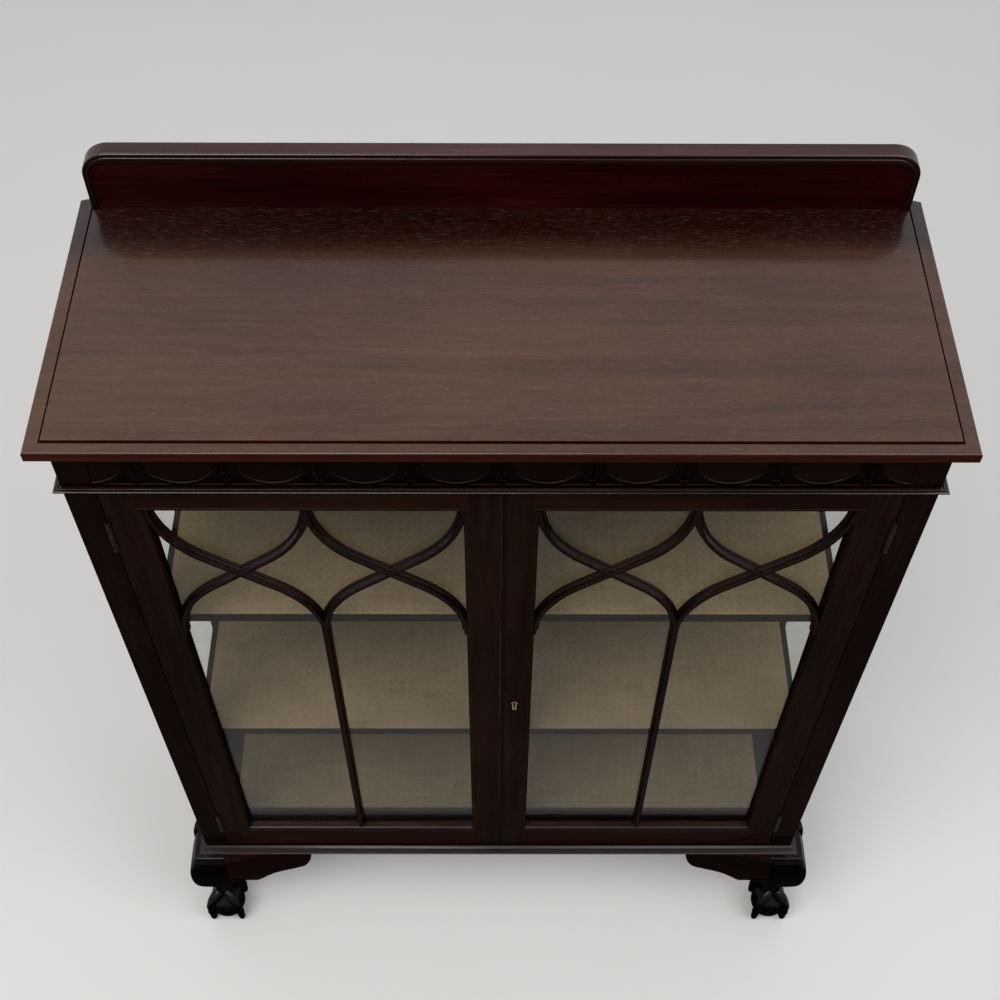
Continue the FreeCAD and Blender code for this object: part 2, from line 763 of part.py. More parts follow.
def make_door(side, hand):
    door_y = (front, door_back)
    tenon_front = front + (d.door_thickness - d.tenon_thickness) / 2
    tenon_y = (tenon_front, tenon_front + d.tenon_thickness)
    top_tenon = tenon_span(rail_high, door_top)
    bottom_tenon = tenon_span(door_bottom, rail_low)
    hinge_tenon = (stile_outer, stile_outer + d.tenon_length)
    meeting_tenon = (stile_inner - d.tenon_length, stile_inner)

    name = f"{hand}_door_hinge_stile"
    blank = box(name + "_blank", (stile_outer, door_outer), door_y, (door_bottom, door_top), side)
    tools = [box(name + "_top_mortice", hinge_tenon, tenon_y, top_tenon, side),
             box(name + "_bottom_mortice", hinge_tenon, tenon_y, bottom_tenon, side)]
    for place_name, low, high in hinge_spans():
        tools.append(knuckle_room(f"{name}_{place_name}_knuckle", side, low, high))
        tools.append(box(f"{name}_{place_name}_leaf", (door_outer - d.leaf_thickness, door_outer),
                         (pin_y, front + d.leaf_width), (low, high), side))
    keep(cut_all(name, blank, tools), name)

    name = f"{hand}_door_meeting_stile"
    blank = box(name + "_blank", (door_inner, stile_inner), door_y, (door_bottom, door_top), side)
    tools = [box(name + "_top_mortice", meeting_tenon, tenon_y, top_tenon, side),
             box(name + "_bottom_mortice", meeting_tenon, tenon_y, bottom_tenon, side)]
    tools += lock_hollows() if side > 0 else [lock_mortice()]
    keep(cut_all(name, blank, tools), name)

    for part, span, tenon in (("top", (rail_high, door_top), top_tenon),
                              ("bottom", (door_bottom, rail_low), bottom_tenon)):
        name = f"{hand}_door_{part}_rail"
        rail = box(name + "_rail", (stile_inner, stile_outer), door_y, span, side)
        outer_tenon = box(name + "_outer_tenon", hinge_tenon, tenon_y, tenon, side)
        inner_tenon = box(name + "_inner_tenon", meeting_tenon, tenon_y, tenon, side)
        keep(fuse(name, [rail, outer_tenon, inner_tenon]), name)

    make_sight_moulding(side, hand)
    gap = d.glass_clearance
    keep(box(f"{hand}_door_pane", (stile_inner + gap, stile_outer - gap), (glass_front, glass_back),
             (rail_low + gap, rail_high - gap), side), f"{hand}_door_glass")
    inner = (stile_inner, stile_inner + d.glass_bead_width)
    outer = (stile_outer - d.glass_bead_width, stile_outer)
    low = (rail_low, rail_low + d.glass_bead_width)
    high = (rail_high - d.glass_bead_width, rail_high)
    beads = []
    for part, x, z in (("low", (stile_inner, stile_outer), low), ("high", (stile_inner, stile_outer), high),
                       ("inner", inner, (low[1], high[0])), ("outer", outer, (low[1], high[0]))):
        beads.append(box(f"{hand}_door_bead_{part}", x, (glass_back, door_back), z, side))
    keep(group(f"{hand}_door_beads", beads), f"{hand}_door_glass_beads")


def make_sight_moulding(side, hand):
    """The rounded moulding round the sight, which the pane lies against."""
    body = doc.addObject("PartDesign::Body", f"{hand}_sight_body")
    x = (stile_inner, stile_outer) if side > 0 else (-stile_outer, -stile_inner)
    outline = rectangle(x, (rail_low, rail_high))
    block = pad(body, f"{hand}_sight_block", body_sketch(body, f"{hand}_sight_outer", "XZ_Plane", outline,
                                                         -glass_front), d.sight_depth)
    x = (sight_inner, sight_outer) if side > 0 else (-sight_outer, -sight_inner)
    hole = body.newObject("PartDesign::Pocket", f"{hand}_sight_hole")
    hole.Profile = body_sketch(body, f"{hand}_sight_inner", "XZ_Plane", rectangle(x, (sight_low, sight_high)),
                               -front)
    hole.Type = "ThroughAll"
    body.Tip = hole
    doc.recompute()
    if hole.Shape.Volume >= block.Shape.Volume:
        raise ValueError(f"the {hand} sight moulding isn't open")

    def wanted(edge, bounds):
        near = max(edge.BoundBox.YMin, edge.BoundBox.YMax) < bounds.YMin + EVEN
        inside = edge.BoundBox.XMin > bounds.XMin + EVEN and edge.BoundBox.XMax < bounds.XMax - EVEN
        return near and inside

    fillet(body, f"{hand}_sight_round", hole, d.sight_round, wanted)
    keep(body, f"{hand}_door_sight_moulding")


# Glazing bars: in each light two ogee bars cross, and a straight bar runs down the middle.
# Each ogee is an arc, a straight and an arc, upright at both ends. Its radius is this share
# of the radius at which the two arcs would meet with no straight.
OGEE_BEND_SHARE = 0.9132


def make_glazing_bars():
    bar_face = glass_front - d.bar_depth
    half_bar = d.bar_width / 2
    half_nib = d.bar_nib_width / 2
    shoulder = glass_front - d.bar_shoulder
    ogee_top = sight_high + d.ogee_rise
    middle = (sight_inner + sight_outer) / 2
    bars = []
    for number, (start, end) in enumerate(((sight_inner, middle), (middle, sight_inner),
                                           (middle, sight_outer), (sight_outer, middle))):
        direction = 1 if number % 2 == 0 else -1
        path = free_sketch(f"ogee_{number}", "xz", ogee_points(start, end, ogee_top, direction), glass_front,
                           closed=False)
        section = free_sketch(f"ogee_{number}_section", "xy", bar_section(start, half_bar, half_nib,
                                                                           shoulder, bar_face), ogee_top)
        bars.append(sweep(f"ogee_{number}_bar", section, path))
    section = free_sketch("upright_section", "xy", bar_section(middle, half_bar, half_nib, shoulder,
                                                               bar_face), sight_low)
    spring = ogee_top - d.ogee_height
    bars.append(extrusion("upright_bar", section, Z_AXIS, spring - sight_low))
    sight = box("bar_trim", (sight_inner, sight_outer), (bar_face, glass_front), (sight_low, sight_high))
    right = keep(common("right_bars", fuse("right_bars_blank", bars), sight), "right_door_glazing_bars")
    keep(mirrored("left_bars", right, X_AXIS), "left_door_glazing_bars")


def bar_section(x, half_bar, half_nib, shoulder, face):
    return [(x - half_bar, glass_front), (x - half_bar, shoulder), (x - half_nib, face),
            (x + half_nib, face), (x + half_bar, shoulder), (x + half_bar, glass_front)]


def ogee_points(start, end, top, direction):
    """The ogee's corners: the straight is the inner tangent of its two circles."""
    half_run = (end - start) * direction / 2
    half_fall = d.ogee_height / 2
    widest = (half_run * half_run + half_fall * half_fall) / (half_run * 2)
    radius = widest * OGEE_BEND_SHARE
    to_x = half_run - radius
    to_z = -half_fall
    square = to_x * to_x + to_z * to_z
    reach = root(square - radius * radius)
    touch_x = radius + (radius * radius * to_x + radius * reach * to_z) / square
    touch_z = (radius * radius * to_z - radius * reach * to_x) / square
    bend = radius * direction
    return [
        (start, top, bend),
        (start + touch_x * direction, top + touch_z),
        (end - touch_x * direction, top - d.ogee_height - touch_z, -bend),
        (end, top - d.ogee_height),
    ]


# Butt hinges: leaves let into the post and the stile. The pin is fast in the post leaf's
# two knuckles and turns in the door leaf's one.
def make_hinges():
    post_leaves = []
    for side, hand in ((-1, "left"), (1, "right")):
        door_leaves = []
        for place_name, low, high in hinge_spans():
            name = f"{hand}_{place_name}"
            third = (high - low) / 3
            leaf_y = (pin_y, front + d.leaf_width)
            gap = d.knuckle_gap / 2
            axis = (pin_x * side, pin_y)
            post_leaf = box(name + "_post_leaf", (opening_half, opening_half + d.leaf_thickness), leaf_y,
                            (low, high), side)
            door_leaf = box(name + "_door_leaf", (door_outer - d.leaf_thickness, door_outer), leaf_y,
                            (low, high), side)
            ends = [rod(name + "_knuckle_low", d.knuckle_radius, third - gap, (*axis, low)),
                    rod(name + "_knuckle_high", d.knuckle_radius, third - gap, (*axis, high - third + gap))]
            middle = rod(name + "_knuckle_mid", d.knuckle_radius, third - gap * 2, (*axis, low + third + gap))
            notch = ((ZERO, opening_half + d.leaf_thickness),
                     (pin_y, pin_y + d.knuckle_radius + d.knuckle_clearance))
            room = box(name + "_post_room", *notch, (low + third, high - third), side)
            low_room = box(name + "_low_room", *notch, (low, low + third), side)
            high_room = box(name + "_high_room", *notch, (high - third, high), side)
            bore = rod(name + "_bore", d.pin_radius + d.pin_clearance, high - low, (*axis, low))
            pin = rod(name + "_pin", d.pin_radius, high - low, (*axis, low))
            post_leaves.append(fuse(name + "_post_half",
                                    [cut(name + "_post_leaf_cut", post_leaf, room), *ends, pin]))
            door_blank = fuse(name + "_door_blank",
                              [cut_all(name + "_door_leaf_cut", door_leaf, [low_room, high_room]), middle])
            door_leaves.append(cut(name + "_door_half", door_blank, bore))
        keep(group(f"{hand}_door_leaves", door_leaves), f"{hand}_door_hinge_leaves")
    keep(group("post_leaves", post_leaves), "post_hinge_leaves")


# Lock: a cut lock let in flush behind the right meeting stile. Its bolt shoots into the left one.
lock_low = d.lock_height - d.lock_case_height / 2
lock_high = d.lock_height + d.lock_case_height / 2
case_front = door_back - d.lock_case_depth
bolt_front = case_front + (d.lock_case_depth - d.lock_bolt_thickness) / 2
bolt_low = d.lock_height - d.lock_bolt_height / 2
bolt_high = d.lock_height + d.lock_bolt_height / 2
key_x = door_inner + d.keyhole_offset


def keyhole(name, grow, y_low, y_high):
    """A keyhole's solid: a round eye over a straight slot."""
    eye = rod(name + "_eye", d.keyhole_radius + grow, y_high - y_low, (key_x, y_low, d.lock_height), "y")
    half = d.keyhole_slot / 2 + grow
    slot = box(name + "_slot", (key_x - half, key_x + half), (y_low, y_high),
               (d.lock_height - d.keyhole_drop - grow, d.lock_height))
    return fuse(name, [eye, slot])


def lock_hollows():
    case = box("case_pocket", (door_inner, door_inner + d.lock_case_width), (case_front, door_back),
               (lock_low, lock_high))
    hole = keyhole("stile_keyhole", ZERO, front, case_front)
    seat = keyhole("escutcheon_seat", d.escutcheon_wall, front, front + d.escutcheon_depth)
    return [case, hole, seat]


def lock_mortice():
    room = d.mortice_clearance
    depth = d.lock_throw + room
    return box("left_mortice", (door_inner, door_inner + depth),
               (bolt_front - room, bolt_front + d.lock_bolt_thickness + room),
               (bolt_low - room, bolt_high + room), -1)


BEAD_ROUND_SHARE = 0.7


def make_lock():
    case = box("case_block", (door_inner, door_inner + d.lock_case_width), (case_front, door_back),
               (lock_low, lock_high))
    play = d.lock_clearance
    way = box("bolt_way", (door_inner, door_inner + d.lock_case_width - d.lock_plate),
              (bolt_front - play, bolt_front + d.lock_bolt_thickness + play),
              (bolt_low - play, bolt_high + play))
    hole = keyhole("case_keyhole", ZERO, case_front, bolt_front)
    keep(cut_all("lock_case_piece", case, [way, hole]), "lock_case")

    blade = box("bolt_blade", (door_inner, door_inner + d.lock_bolt_length),
                (bolt_front, bolt_front + d.lock_bolt_thickness), (bolt_low, bolt_high))
    talon = box("bolt_talon", (key_x - d.keyhole_radius, key_x + d.keyhole_radius),
                (bolt_front, bolt_front + d.lock_bolt_thickness), (bolt_low, bolt_low + d.talon_depth))
    keep(cut("lock_bolt_piece", blade, talon), "lock_bolt")

    face, seat = front - d.escutcheon_rise, front + d.escutcheon_depth
    shell = keyhole("escutcheon_shell", d.escutcheon_wall, face, seat)
    inside = keyhole("escutcheon_inside", ZERO, face, seat)
    keep(cut("escutcheon_piece", shell, inside), "escutcheon")

    outer = door_inner + d.cock_bead_width
    shoulder = front - d.cock_bead_rise
    bead = [(door_inner, front), (door_inner, shoulder, d.cock_bead_width * BEAD_ROUND_SHARE),
            (outer, shoulder), (outer, front)]
    keep(plate("cock_bead_piece", "xy", bead, door_bottom, door_top), "cock_bead")


# Slide bolts that hold the left door: a cased flat rod at the top and one at the bottom.
# The knob stands this share of the rod's length from its free end.
KNOB_SHARE = 0.6
slide_x = -(door_inner + d.slide_bolt_inset)
slide_y = door_back + d.slide_bolt_standoff


def slide_bar(name, width, thickness, low, high):
    """A bar of flat section along a slide bolt's line."""
    return box(name, (slide_x - width / 2, slide_x + width / 2),
               (slide_y - thickness / 2, slide_y + thickness / 2), (low, high))


def slide_socket(name, low, high):
    room = d.slide_socket_clearance * 2
    return slide_bar(name, d.slide_bolt_width + room, d.slide_bolt_thickness + room, low, high)


def make_slides():
    cases = []
    top_level = door_top - d.stop_rail_lap - d.slide_bolt_gap
    bottom_level = floor_top + d.slide_bolt_gap
    play = d.slide_bolt_clearance * 2
    for part, end, way in (("top", top_level, -1), ("bottom", bottom_level, 1)):
        far = end + d.slide_case_height * way
        rod_end = end + d.slide_bolt_length * way
        hollow_end = rod_end + d.slide_bolt_clearance * way
        knob_level = end + d.slide_bolt_length * way * KNOB_SHARE
        knob_room = d.slide_knob_radius + d.slide_bolt_clearance
        slot = [knob_level - knob_room, knob_level + knob_room]
        slot[way < 0] = slot[way < 0] - d.slide_bolt_throw * way
        case = slide_bar(f"{part}_slide_block", d.slide_case_width, d.slide_case_depth, *ordered(end, far))
        hollow = slide_bar(f"{part}_slide_hollow", d.slide_bolt_width + play, d.slide_bolt_thickness + play,
                           *ordered(end, hollow_end))
        window = box(f"{part}_slide_window", (slide_x - knob_room, slide_x + knob_room),
                     (slide_y, slide_y + d.slide_case_depth), slot)
        cases.append(cut_all(f"{part}_slide_case", case, [hollow, window]))
        bar = slide_bar(f"{part}_slide_bar", d.slide_bolt_width, d.slide_bolt_thickness,
                        *ordered(end, rod_end))
        knob = rod(f"{part}_slide_knob", d.slide_knob_radius, d.slide_knob_length,
                   (slide_x, slide_y, knob_level), "y")
        keep(fuse(f"{part}_slide_rod", [bar, knob]), f"{part}_slide_bolt")
    keep(group("slide_case_group", cases), "slide_bolt_cases")


def ordered(start, end):
    return (start, end) if start.value < end.value else (end, start)


# Cabriole legs, sawn from two faces to one profile, with the corners taken off along both
# diagonals. Levels are shares of the leg's height.
LEVEL_SHARES = {"top": 1.0, "hip": 0.63, "shin": 0.51, "ankle": 0.27, "foot": 0.16}
CORNER_SHARE = 0.3

# The foot's claws in the plane of one diagonal: shares of the foot's half width,
# from the floor up one side, over the top and down the other.
CLAW_SHARES = (
    (1.22, 0.00), (1.22, 0.28), (1.10, 0.62), (1.20, 0.95), (1.14, 1.40), (0.86, 1.84), (0.40, 2.12),
    (-0.40, 2.12), (-0.86, 1.84), (-1.14, 1.40), (-1.20, 0.95), (-1.10, 0.62), (-1.22, 0.28), (-1.22, 0.00),
    (-1.00, 0.00), (-0.88, 0.26), (0.88, 0.26), (1.00, 0.00),
)

# The directions that the ball's flats are cut from, as shares of a half turn.
BALL_VIEW_SHARES = (0.0, 0.25, 0.5, 0.75)


def leg_profile(outward, inward, bulge, base=ZERO, way=1):
    """A leg's outline from the top down its outer face and up its inner face."""
    level = {word: d.leg_height * share for word, share in LEVEL_SHARES.items()}
    points = [
        (outward["top"], "top", -d.knee_bulge * bulge), (outward["shin"], "shin", d.calf_bulge * bulge),
        (outward["ankle"], "ankle"), (outward["foot"], "foot"),
        (-inward["foot"], "foot"), (-inward["ankle"], "ankle"),
        (-inward["hip"], "hip"), (-inward["top"], "top"),
    ]
    return bowed([(base + point[0] * way, level[point[1]], *(size * way for size in point[2:]))
                  for point in points])


def bowed(points):
    """Turn each arc's bulge over its chord into its radius."""
    outline = []
    for point, following in zip(points, points[1:] + points[:1]):
        if len(point) > 2:
            run, rise, bulge = (following[0] - point[0]) / 2, (following[1] - point[1]) / 2, point[2]
            point = (point[0], point[1], (run * run + rise * rise + bulge * bulge) / (bulge * 2))
        outline.append(point)
    return outline


def upright_plate(name, points, angle, thickness):
    """An outline in an upright plane through the leg's corner, made solid to both sides."""
    sketch = doc.addObject("Sketcher::SketchObject", name + "_outline")
    draw(sketch, points)
    solid = doc.addObject("Part::Extrusion", name)
    solid.Base = sketch
    solid.DirMode = "Normal"
    solid.Solid = True
    solid.Symmetric = True
    bind(solid, "LengthFwd", thickness)
    turn = FreeCAD.Rotation(Z_AXIS, angle).multiply(FreeCAD.Rotation(X_AXIS, 90))
    solid.Placement.Rotation = turn
    place(solid, half_width, front)
    return solid


def make_leg_blank():
    outward = {"top": d.leg_top_reach, "hip": d.knee_reach, "shin": d.shin_reach,
               "ankle": d.ankle_reach, "foot": d.foot_reach}
    inward = {"top": d.leg_inner, "hip": d.leg_inner, "shin": d.leg_inner,
              "ankle": d.ankle_inner, "foot": d.foot_inner}
    middle = {word: (outward[word] + inward[word]) / 2 for word in outward}
    diagonal = root(as_size(2))
    trim = {word: middle[word] * CORNER_SHARE / 2 for word in middle}
    corner_out = {word: (outward[word] - trim[word]) * diagonal for word in outward}
    corner_in = {word: (inward[word] - trim[word]) * diagonal for word in inward}
    side = {word: (middle[word] - trim[word]) * diagonal for word in middle}
    width = (d.leg_inner + d.knee_reach) * 4
    reach = width / 2
    views = [
        plate("leg_front_view", "xz", leg_profile(outward, inward, 1, half_width),
              front - reach, front + reach),
        plate("leg_side_view", "yz", leg_profile(outward, inward, 1, front, -1),
              half_width - reach, half_width + reach),
        upright_plate("leg_corner_view", leg_profile(corner_out, corner_in, diagonal), -45, width),
        upright_plate("leg_cheek_view", cheek_profile(side, diagonal / 2), 45, width),
    ]
    blank = doc.addObject("Part::MultiCommon", "leg_blank")
    blank.Shapes = views
    return blank


def cheek_profile(side, bulge):
    """The leg's outline across the diagonal, alike on both sides."""
    level = {word: d.leg_height * share for word, share in LEVEL_SHARES.items()}
    down = [(side["top"], level["top"], -d.knee_bulge * bulge),
            (side["shin"], level["shin"], d.calf_bulge * bulge),
            (side["ankle"], level["ankle"]), (side["foot"], level["foot"])]
    up = [(-side["foot"], level["foot"]), (-side["ankle"], level["ankle"], d.calf_bulge * bulge),
          (-side["shin"], level["shin"], -d.knee_bulge * bulge), (-side["top"], level["top"])]
    return bowed(down + up)


def make_ball():
    """The foot's ball, shaped in flats from four sides."""
    flats = []
    sides = len(BALL_VIEW_SHARES) * 2
    half_flat = 180 / sides
    for number, share in enumerate(BALL_VIEW_SHARES):
        prism = doc.addObject("Part::Prism", f"ball_view_{number}")
        prism.Polygon = sides
        bind(prism, "Circumradius", d.ball_radius / math.cos(math.radians(half_flat)))
        bind(prism, "Height", d.ball_radius * 4)
        upright = FreeCAD.Rotation(X_AXIS, 90).multiply(FreeCAD.Rotation(Z_AXIS, half_flat))
        prism.Placement.Rotation = FreeCAD.Rotation(Z_AXIS, 180 * share).multiply(upright)
        reach = d.ball_radius * 2
        turn = math.pi * share
        place(prism, half_width - reach * math.sin(turn), front + reach * math.cos(turn),
              d.ball_lift + d.ball_radius)
        flats.append(prism)
    ball = doc.addObject("Part::MultiCommon", "foot_ball")
    ball.Shapes = flats
    ball.Refine = True
    return ball


def make_legs():
    claws = []
    for number, angle in enumerate((45, -45)):
        outline = [(d.foot_half * across, d.foot_half * up) for across, up in CLAW_SHARES]
        claws.append(upright_plate(f"claw_{number}", outline, angle, d.toe_width))
    whole = fuse("right_front_leg_piece", [make_leg_blank(), make_ball(), *claws])
    leg = keep(whole, "front_right_leg")
    left = keep(mirrored("left_front_leg_piece", leg, X_AXIS), "front_left_leg")
    keep(mirrored("right_rear_leg_piece", leg, Y_AXIS), "rear_right_leg")
    keep(mirrored("left_rear_leg_piece", left, Y_AXIS), "rear_left_leg")
    return leg


# Ear brackets between the legs' knees and the base board. Their outline has a flat foot,
# a hollow and a swelling up to the tip, as shares of the ear's length and height.
EAR_FOOT_SHARE = 0.15
EAR_TURN_SHARES = (0.73, 0.64)
EAR_WAIST_SHARES = (0.35, 0.62)
EAR_BOW_SHARES = (0.28, 0.66)


def ear(name, length, leg):
    """An ear beside the right front leg: outline, plan and bowed face, scribed to the leg."""
    root_x = half_width - d.leg_inner
    lap_x = root_x + d.leg_inner * CORNER_SHARE
    low, foot = base_bottom, base_bottom - d.ear_height
    turn_x = root_x - length * EAR_TURN_SHARES[0]
    turn_z = low - d.ear_height * EAR_TURN_SHARES[1]
    tip_x = root_x - length
    behind = front + d.ear_thickness
    face = [(lap_x, low), (lap_x, foot), (root_x - length * EAR_FOOT_SHARE, foot, d.ear_hollow_radius),
            (turn_x, turn_z, -d.ear_swell_radius), (tip_x, low)]
    root_front, tip_front = front - d.ear_root_front, front - d.ear_tip_front
    waist_x = root_x - length * EAR_WAIST_SHARES[0]
    waist_front = root_front + (tip_front - root_front) * EAR_WAIST_SHARES[1]
    plan = [(lap_x, root_front), (lap_x, behind), (tip_x, behind), (tip_x, tip_front),
            (waist_x, waist_front)]
    bow_high, bow_low = [low - d.ear_height * share for share in EAR_BOW_SHARES]
    bow = [(behind, low), (behind, foot), (front - d.ear_edge_front, foot), (root_front, bow_low),
           (root_front, bow_high), (front - d.ear_top_front, low)]
    front_view = plate(name + "_face", "xz", face, root_front, behind)
    plan_view = plate(name + "_plan", "xy", plan, foot, low)
    end_view = plate(name + "_bow", "yz", bow, tip_x, lap_x)
    return cut(name, common(name + "_blank", common(name + "_shape", front_view, plan_view), end_view), leg)


def make_ears(leg):
    right = ear("front_ear_right", d.ear_length, leg)
    keep(group("front_ears_group", [right, mirrored("front_ear_left", right, X_AXIS)]), "front_ears")

    short = ear("side_ear_blank", d.side_ear_length, leg)
    diagonal = FreeCAD.Vector(1, 1, 0)
    right = mirrored("side_ear_right", short, diagonal, (half_width, front))
    left = mirrored("side_ear_left", right, X_AXIS)
    rear = [mirrored("side_ear_rear_right", right, Y_AXIS), mirrored("side_ear_rear_left", left, Y_AXIS)]
    keep(group("side_ears_group", [right, left, *rear]), "side_ears")


make_top_board()
make_gallery()
make_base_board()
make_posts()
make_sides()
make_frieze()
make_waist()
make_rails()
make_shelves()
for door_side, door_hand in ((-1, "left"), (1, "right")):
    make_door(door_side, door_hand)
make_glazing_bars()
make_hinges()
make_lock()
make_slides()
make_ears(make_legs())
doc.recompute()

faults = [obj.Name for obj in doc.Objects if "Invalid" in obj.State or "Error" in obj.State]
if faults:
    raise RuntimeError("failed objects: " + ", ".join(faults))
for label, obj in NODES.items():
    shape = obj.Shape
    if shape.isNull() or not shape.isValid() or not shape.Solids:
        raise RuntimeError(f"{label} has no valid solid")
for label, obj in NODES.items():
    obj.Shape.exportStep(f"parts/{label}.step")
print(len(NODES), "pieces written")
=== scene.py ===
import math
import bmesh
import bpy
from mathutils import Matrix, Vector, noise


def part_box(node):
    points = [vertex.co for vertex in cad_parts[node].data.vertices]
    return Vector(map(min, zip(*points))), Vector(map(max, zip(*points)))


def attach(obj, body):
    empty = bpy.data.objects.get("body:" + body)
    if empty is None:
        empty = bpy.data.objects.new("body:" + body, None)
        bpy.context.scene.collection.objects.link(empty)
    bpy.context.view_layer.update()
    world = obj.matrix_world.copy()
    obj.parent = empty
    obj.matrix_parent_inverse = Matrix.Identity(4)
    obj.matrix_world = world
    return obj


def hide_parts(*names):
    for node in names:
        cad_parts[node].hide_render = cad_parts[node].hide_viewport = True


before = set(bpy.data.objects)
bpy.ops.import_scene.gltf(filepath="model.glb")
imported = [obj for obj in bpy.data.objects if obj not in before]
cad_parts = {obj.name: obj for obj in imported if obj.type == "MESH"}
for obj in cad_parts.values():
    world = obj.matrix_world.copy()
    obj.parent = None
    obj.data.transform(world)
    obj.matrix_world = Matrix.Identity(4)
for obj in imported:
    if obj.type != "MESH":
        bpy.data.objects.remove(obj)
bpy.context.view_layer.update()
scene = bpy.context.scene
MM = 0.001


# ---- meshes
def mesh_from(name, verts, faces, smooth=True, crease=60):
    """A mesh with outward normals from corners in metres, with sharp edges over crease degrees."""
    mesh = bpy.data.meshes.new(name)
    mesh.from_pydata([tuple(v) for v in verts], [], faces)
    work = bmesh.new()
    work.from_mesh(mesh)
    bmesh.ops.remove_doubles(work, verts=work.verts, dist=1e-6)
    bmesh.ops.recalc_face_normals(work, faces=work.faces)
    for face in work.faces:
        face.smooth = smooth
    for edge in work.edges:
        if len(edge.link_faces) == 2 and edge.calc_face_angle(0) > math.radians(crease):
            edge.smooth = False
    work.to_mesh(mesh)
    work.free()
    return mesh


def piece(name, shape, material, body="carcass", slot="mahogany", replaces=(), **how):
    """A visual piece that rides on a body, from a mesh or from (verts, faces)."""
    mesh = shape if isinstance(shape, bpy.types.Mesh) else mesh_from(name, *shape, **how)
    obj = bpy.data.objects.new(name, mesh)
    scene.collection.objects.link(obj)
    mesh.materials.clear()
    mesh.materials.append(material)
    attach(obj, body)
    if replaces:
        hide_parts(*replaces)
    return obj


def join(parts):
    """Several (verts, faces) as one."""
    verts, faces = [], []
    for some_verts, some_faces in parts:
        start = len(verts)
        verts += list(some_verts)
        faces += [tuple(start + i for i in face) for face in some_faces]
    return verts, faces


def loft(rings):
    """Faces between closed rings of the same count, closed at both ends."""
    count = len(rings[0])
    faces = []
    for a in range(len(rings) - 1):
        for b in range(count):
            c = (b + 1) % count
            faces.append((a * count + b, a * count + c, (a + 1) * count + c, (a + 1) * count + b))
    last = (len(rings) - 1) * count
    faces.append(tuple(reversed(range(count))))
    faces.append(tuple(last + i for i in range(count)))
    return [point for ring in rings for point in ring], faces


def runs(line):
    """The (x, z) points of a line, each with the unit vector along the line there."""
    for index, (x, z) in enumerate(line):
        before, after = line[max(index - 1, 0)], line[min(index + 1, len(line) - 1)]
        yield x, z, Vector((after[0] - before[0], after[1] - before[1])).normalized()


def mirror(parts, side):
    """(verts, faces) as they are, or mirrored in x where side is -1."""
    verts, faces = parts
    return [Vector((v[0] * side, v[1], v[2])) for v in verts], faces


def smooth_step(share):
    """0 to 1 with level ends."""
    share = min(max(share, 0.0), 1.0)
    return share * share * (3 - 2 * share)


def curve_value(stations, level):
    """Catmull-Rom value at a level from (level, value) stations in rising order."""
    for index in range(len(stations) - 1):
        if level <= stations[index + 1][0] or index == len(stations) - 2:
            break
    before = stations[max(index - 1, 0)][1]
    here, there = stations[index][1], stations[index + 1][1]
    after = stations[min(index + 2, len(stations) - 1)][1]
    t = (level - stations[index][0]) / (stations[index + 1][0] - stations[index][0])
    return 0.5 * (2 * here + (there - before) * t + (2 * before - 5 * here + 4 * there - after) * t * t
                  + (3 * here - before - 3 * there + after) * t ** 3)


# ---- material graphs
class Graph:
    """A material's nodes, wired from inputs by name."""

    def __init__(self, name):
        self.material = bpy.data.materials.new(name)
        self.material.use_nodes = True
        self.nodes = self.material.node_tree.nodes
        self.links = self.material.node_tree.links
        self.nodes.clear()

    def node(self, kind, inputs=None, **settings):
        made = self.nodes.new("ShaderNode" + kind)
        for word, value in settings.items():
            setattr(made, word, value)
        for key, value in (inputs or {}).items():
            socket = made.inputs[key]
            if isinstance(value, bpy.types.NodeSocket):
                self.links.new(value, socket)
            else:
                socket.default_value = value
        return made

    def math(self, operation, first, second=0.0, third=0.0):
        return self.node("Math", {0: first, 1: second, 2: third}, operation=operation).outputs[0]

    def spread(self, value, low, high, to_low=0.0, to_high=1.0):
        made = self.node("MapRange", {"Value": value, "From Min": low, "From Max": high,
                                      "To Min": to_low, "To Max": to_high})
        return made.outputs["Result"]

    def blend(self, factor, first, second, kind="MIX"):
        made = self.node("Mix", {0: factor, 6: first, 7: second}, data_type="RGBA", blend_type=kind)
        return made.outputs[2]

    def ramp(self, value, stops):
        made = self.node("ValToRGB", {"Fac": value})
        elements = made.color_ramp.elements
        while len(elements) < len(stops):
            elements.new(0.5)
        for element, (place, colour) in zip(elements, stops):
            element.position = place
            element.color = (*colour, 1)
        return made.outputs["Color"]

    def noise(self, vector, scale, detail=4.0, rough=0.5, distortion=0.0):
        made = self.node("TexNoise", {"Vector": vector, "Scale": scale, "Detail": detail,
                                      "Roughness": rough, "Distortion": distortion})
        return made.outputs["Fac"]

    def place(self, vector, scale):
        return self.node("Mapping", {"Vector": vector, "Scale": scale}).outputs[0]

    def finish(self, shader):
        self.node("OutputMaterial", {"Surface": shader})
        return self.material


GRAIN = {"x": (1, 15, 15), "y": (15, 1, 15), "z": (15, 15, 1)}
PORE_SHADE, GALLERY_SHADE = (0.42, 0.38, 0.36, 1), (0.24, 0.1, 0.08, 1)
DUST_COLOUR, RUBBED, WEAR_RADIUS = (0.3, 0.25, 0.21, 1), (2.1, 1.8, 1.6, 1), 0.0016
GALLERY_FACE_Y = 0.148


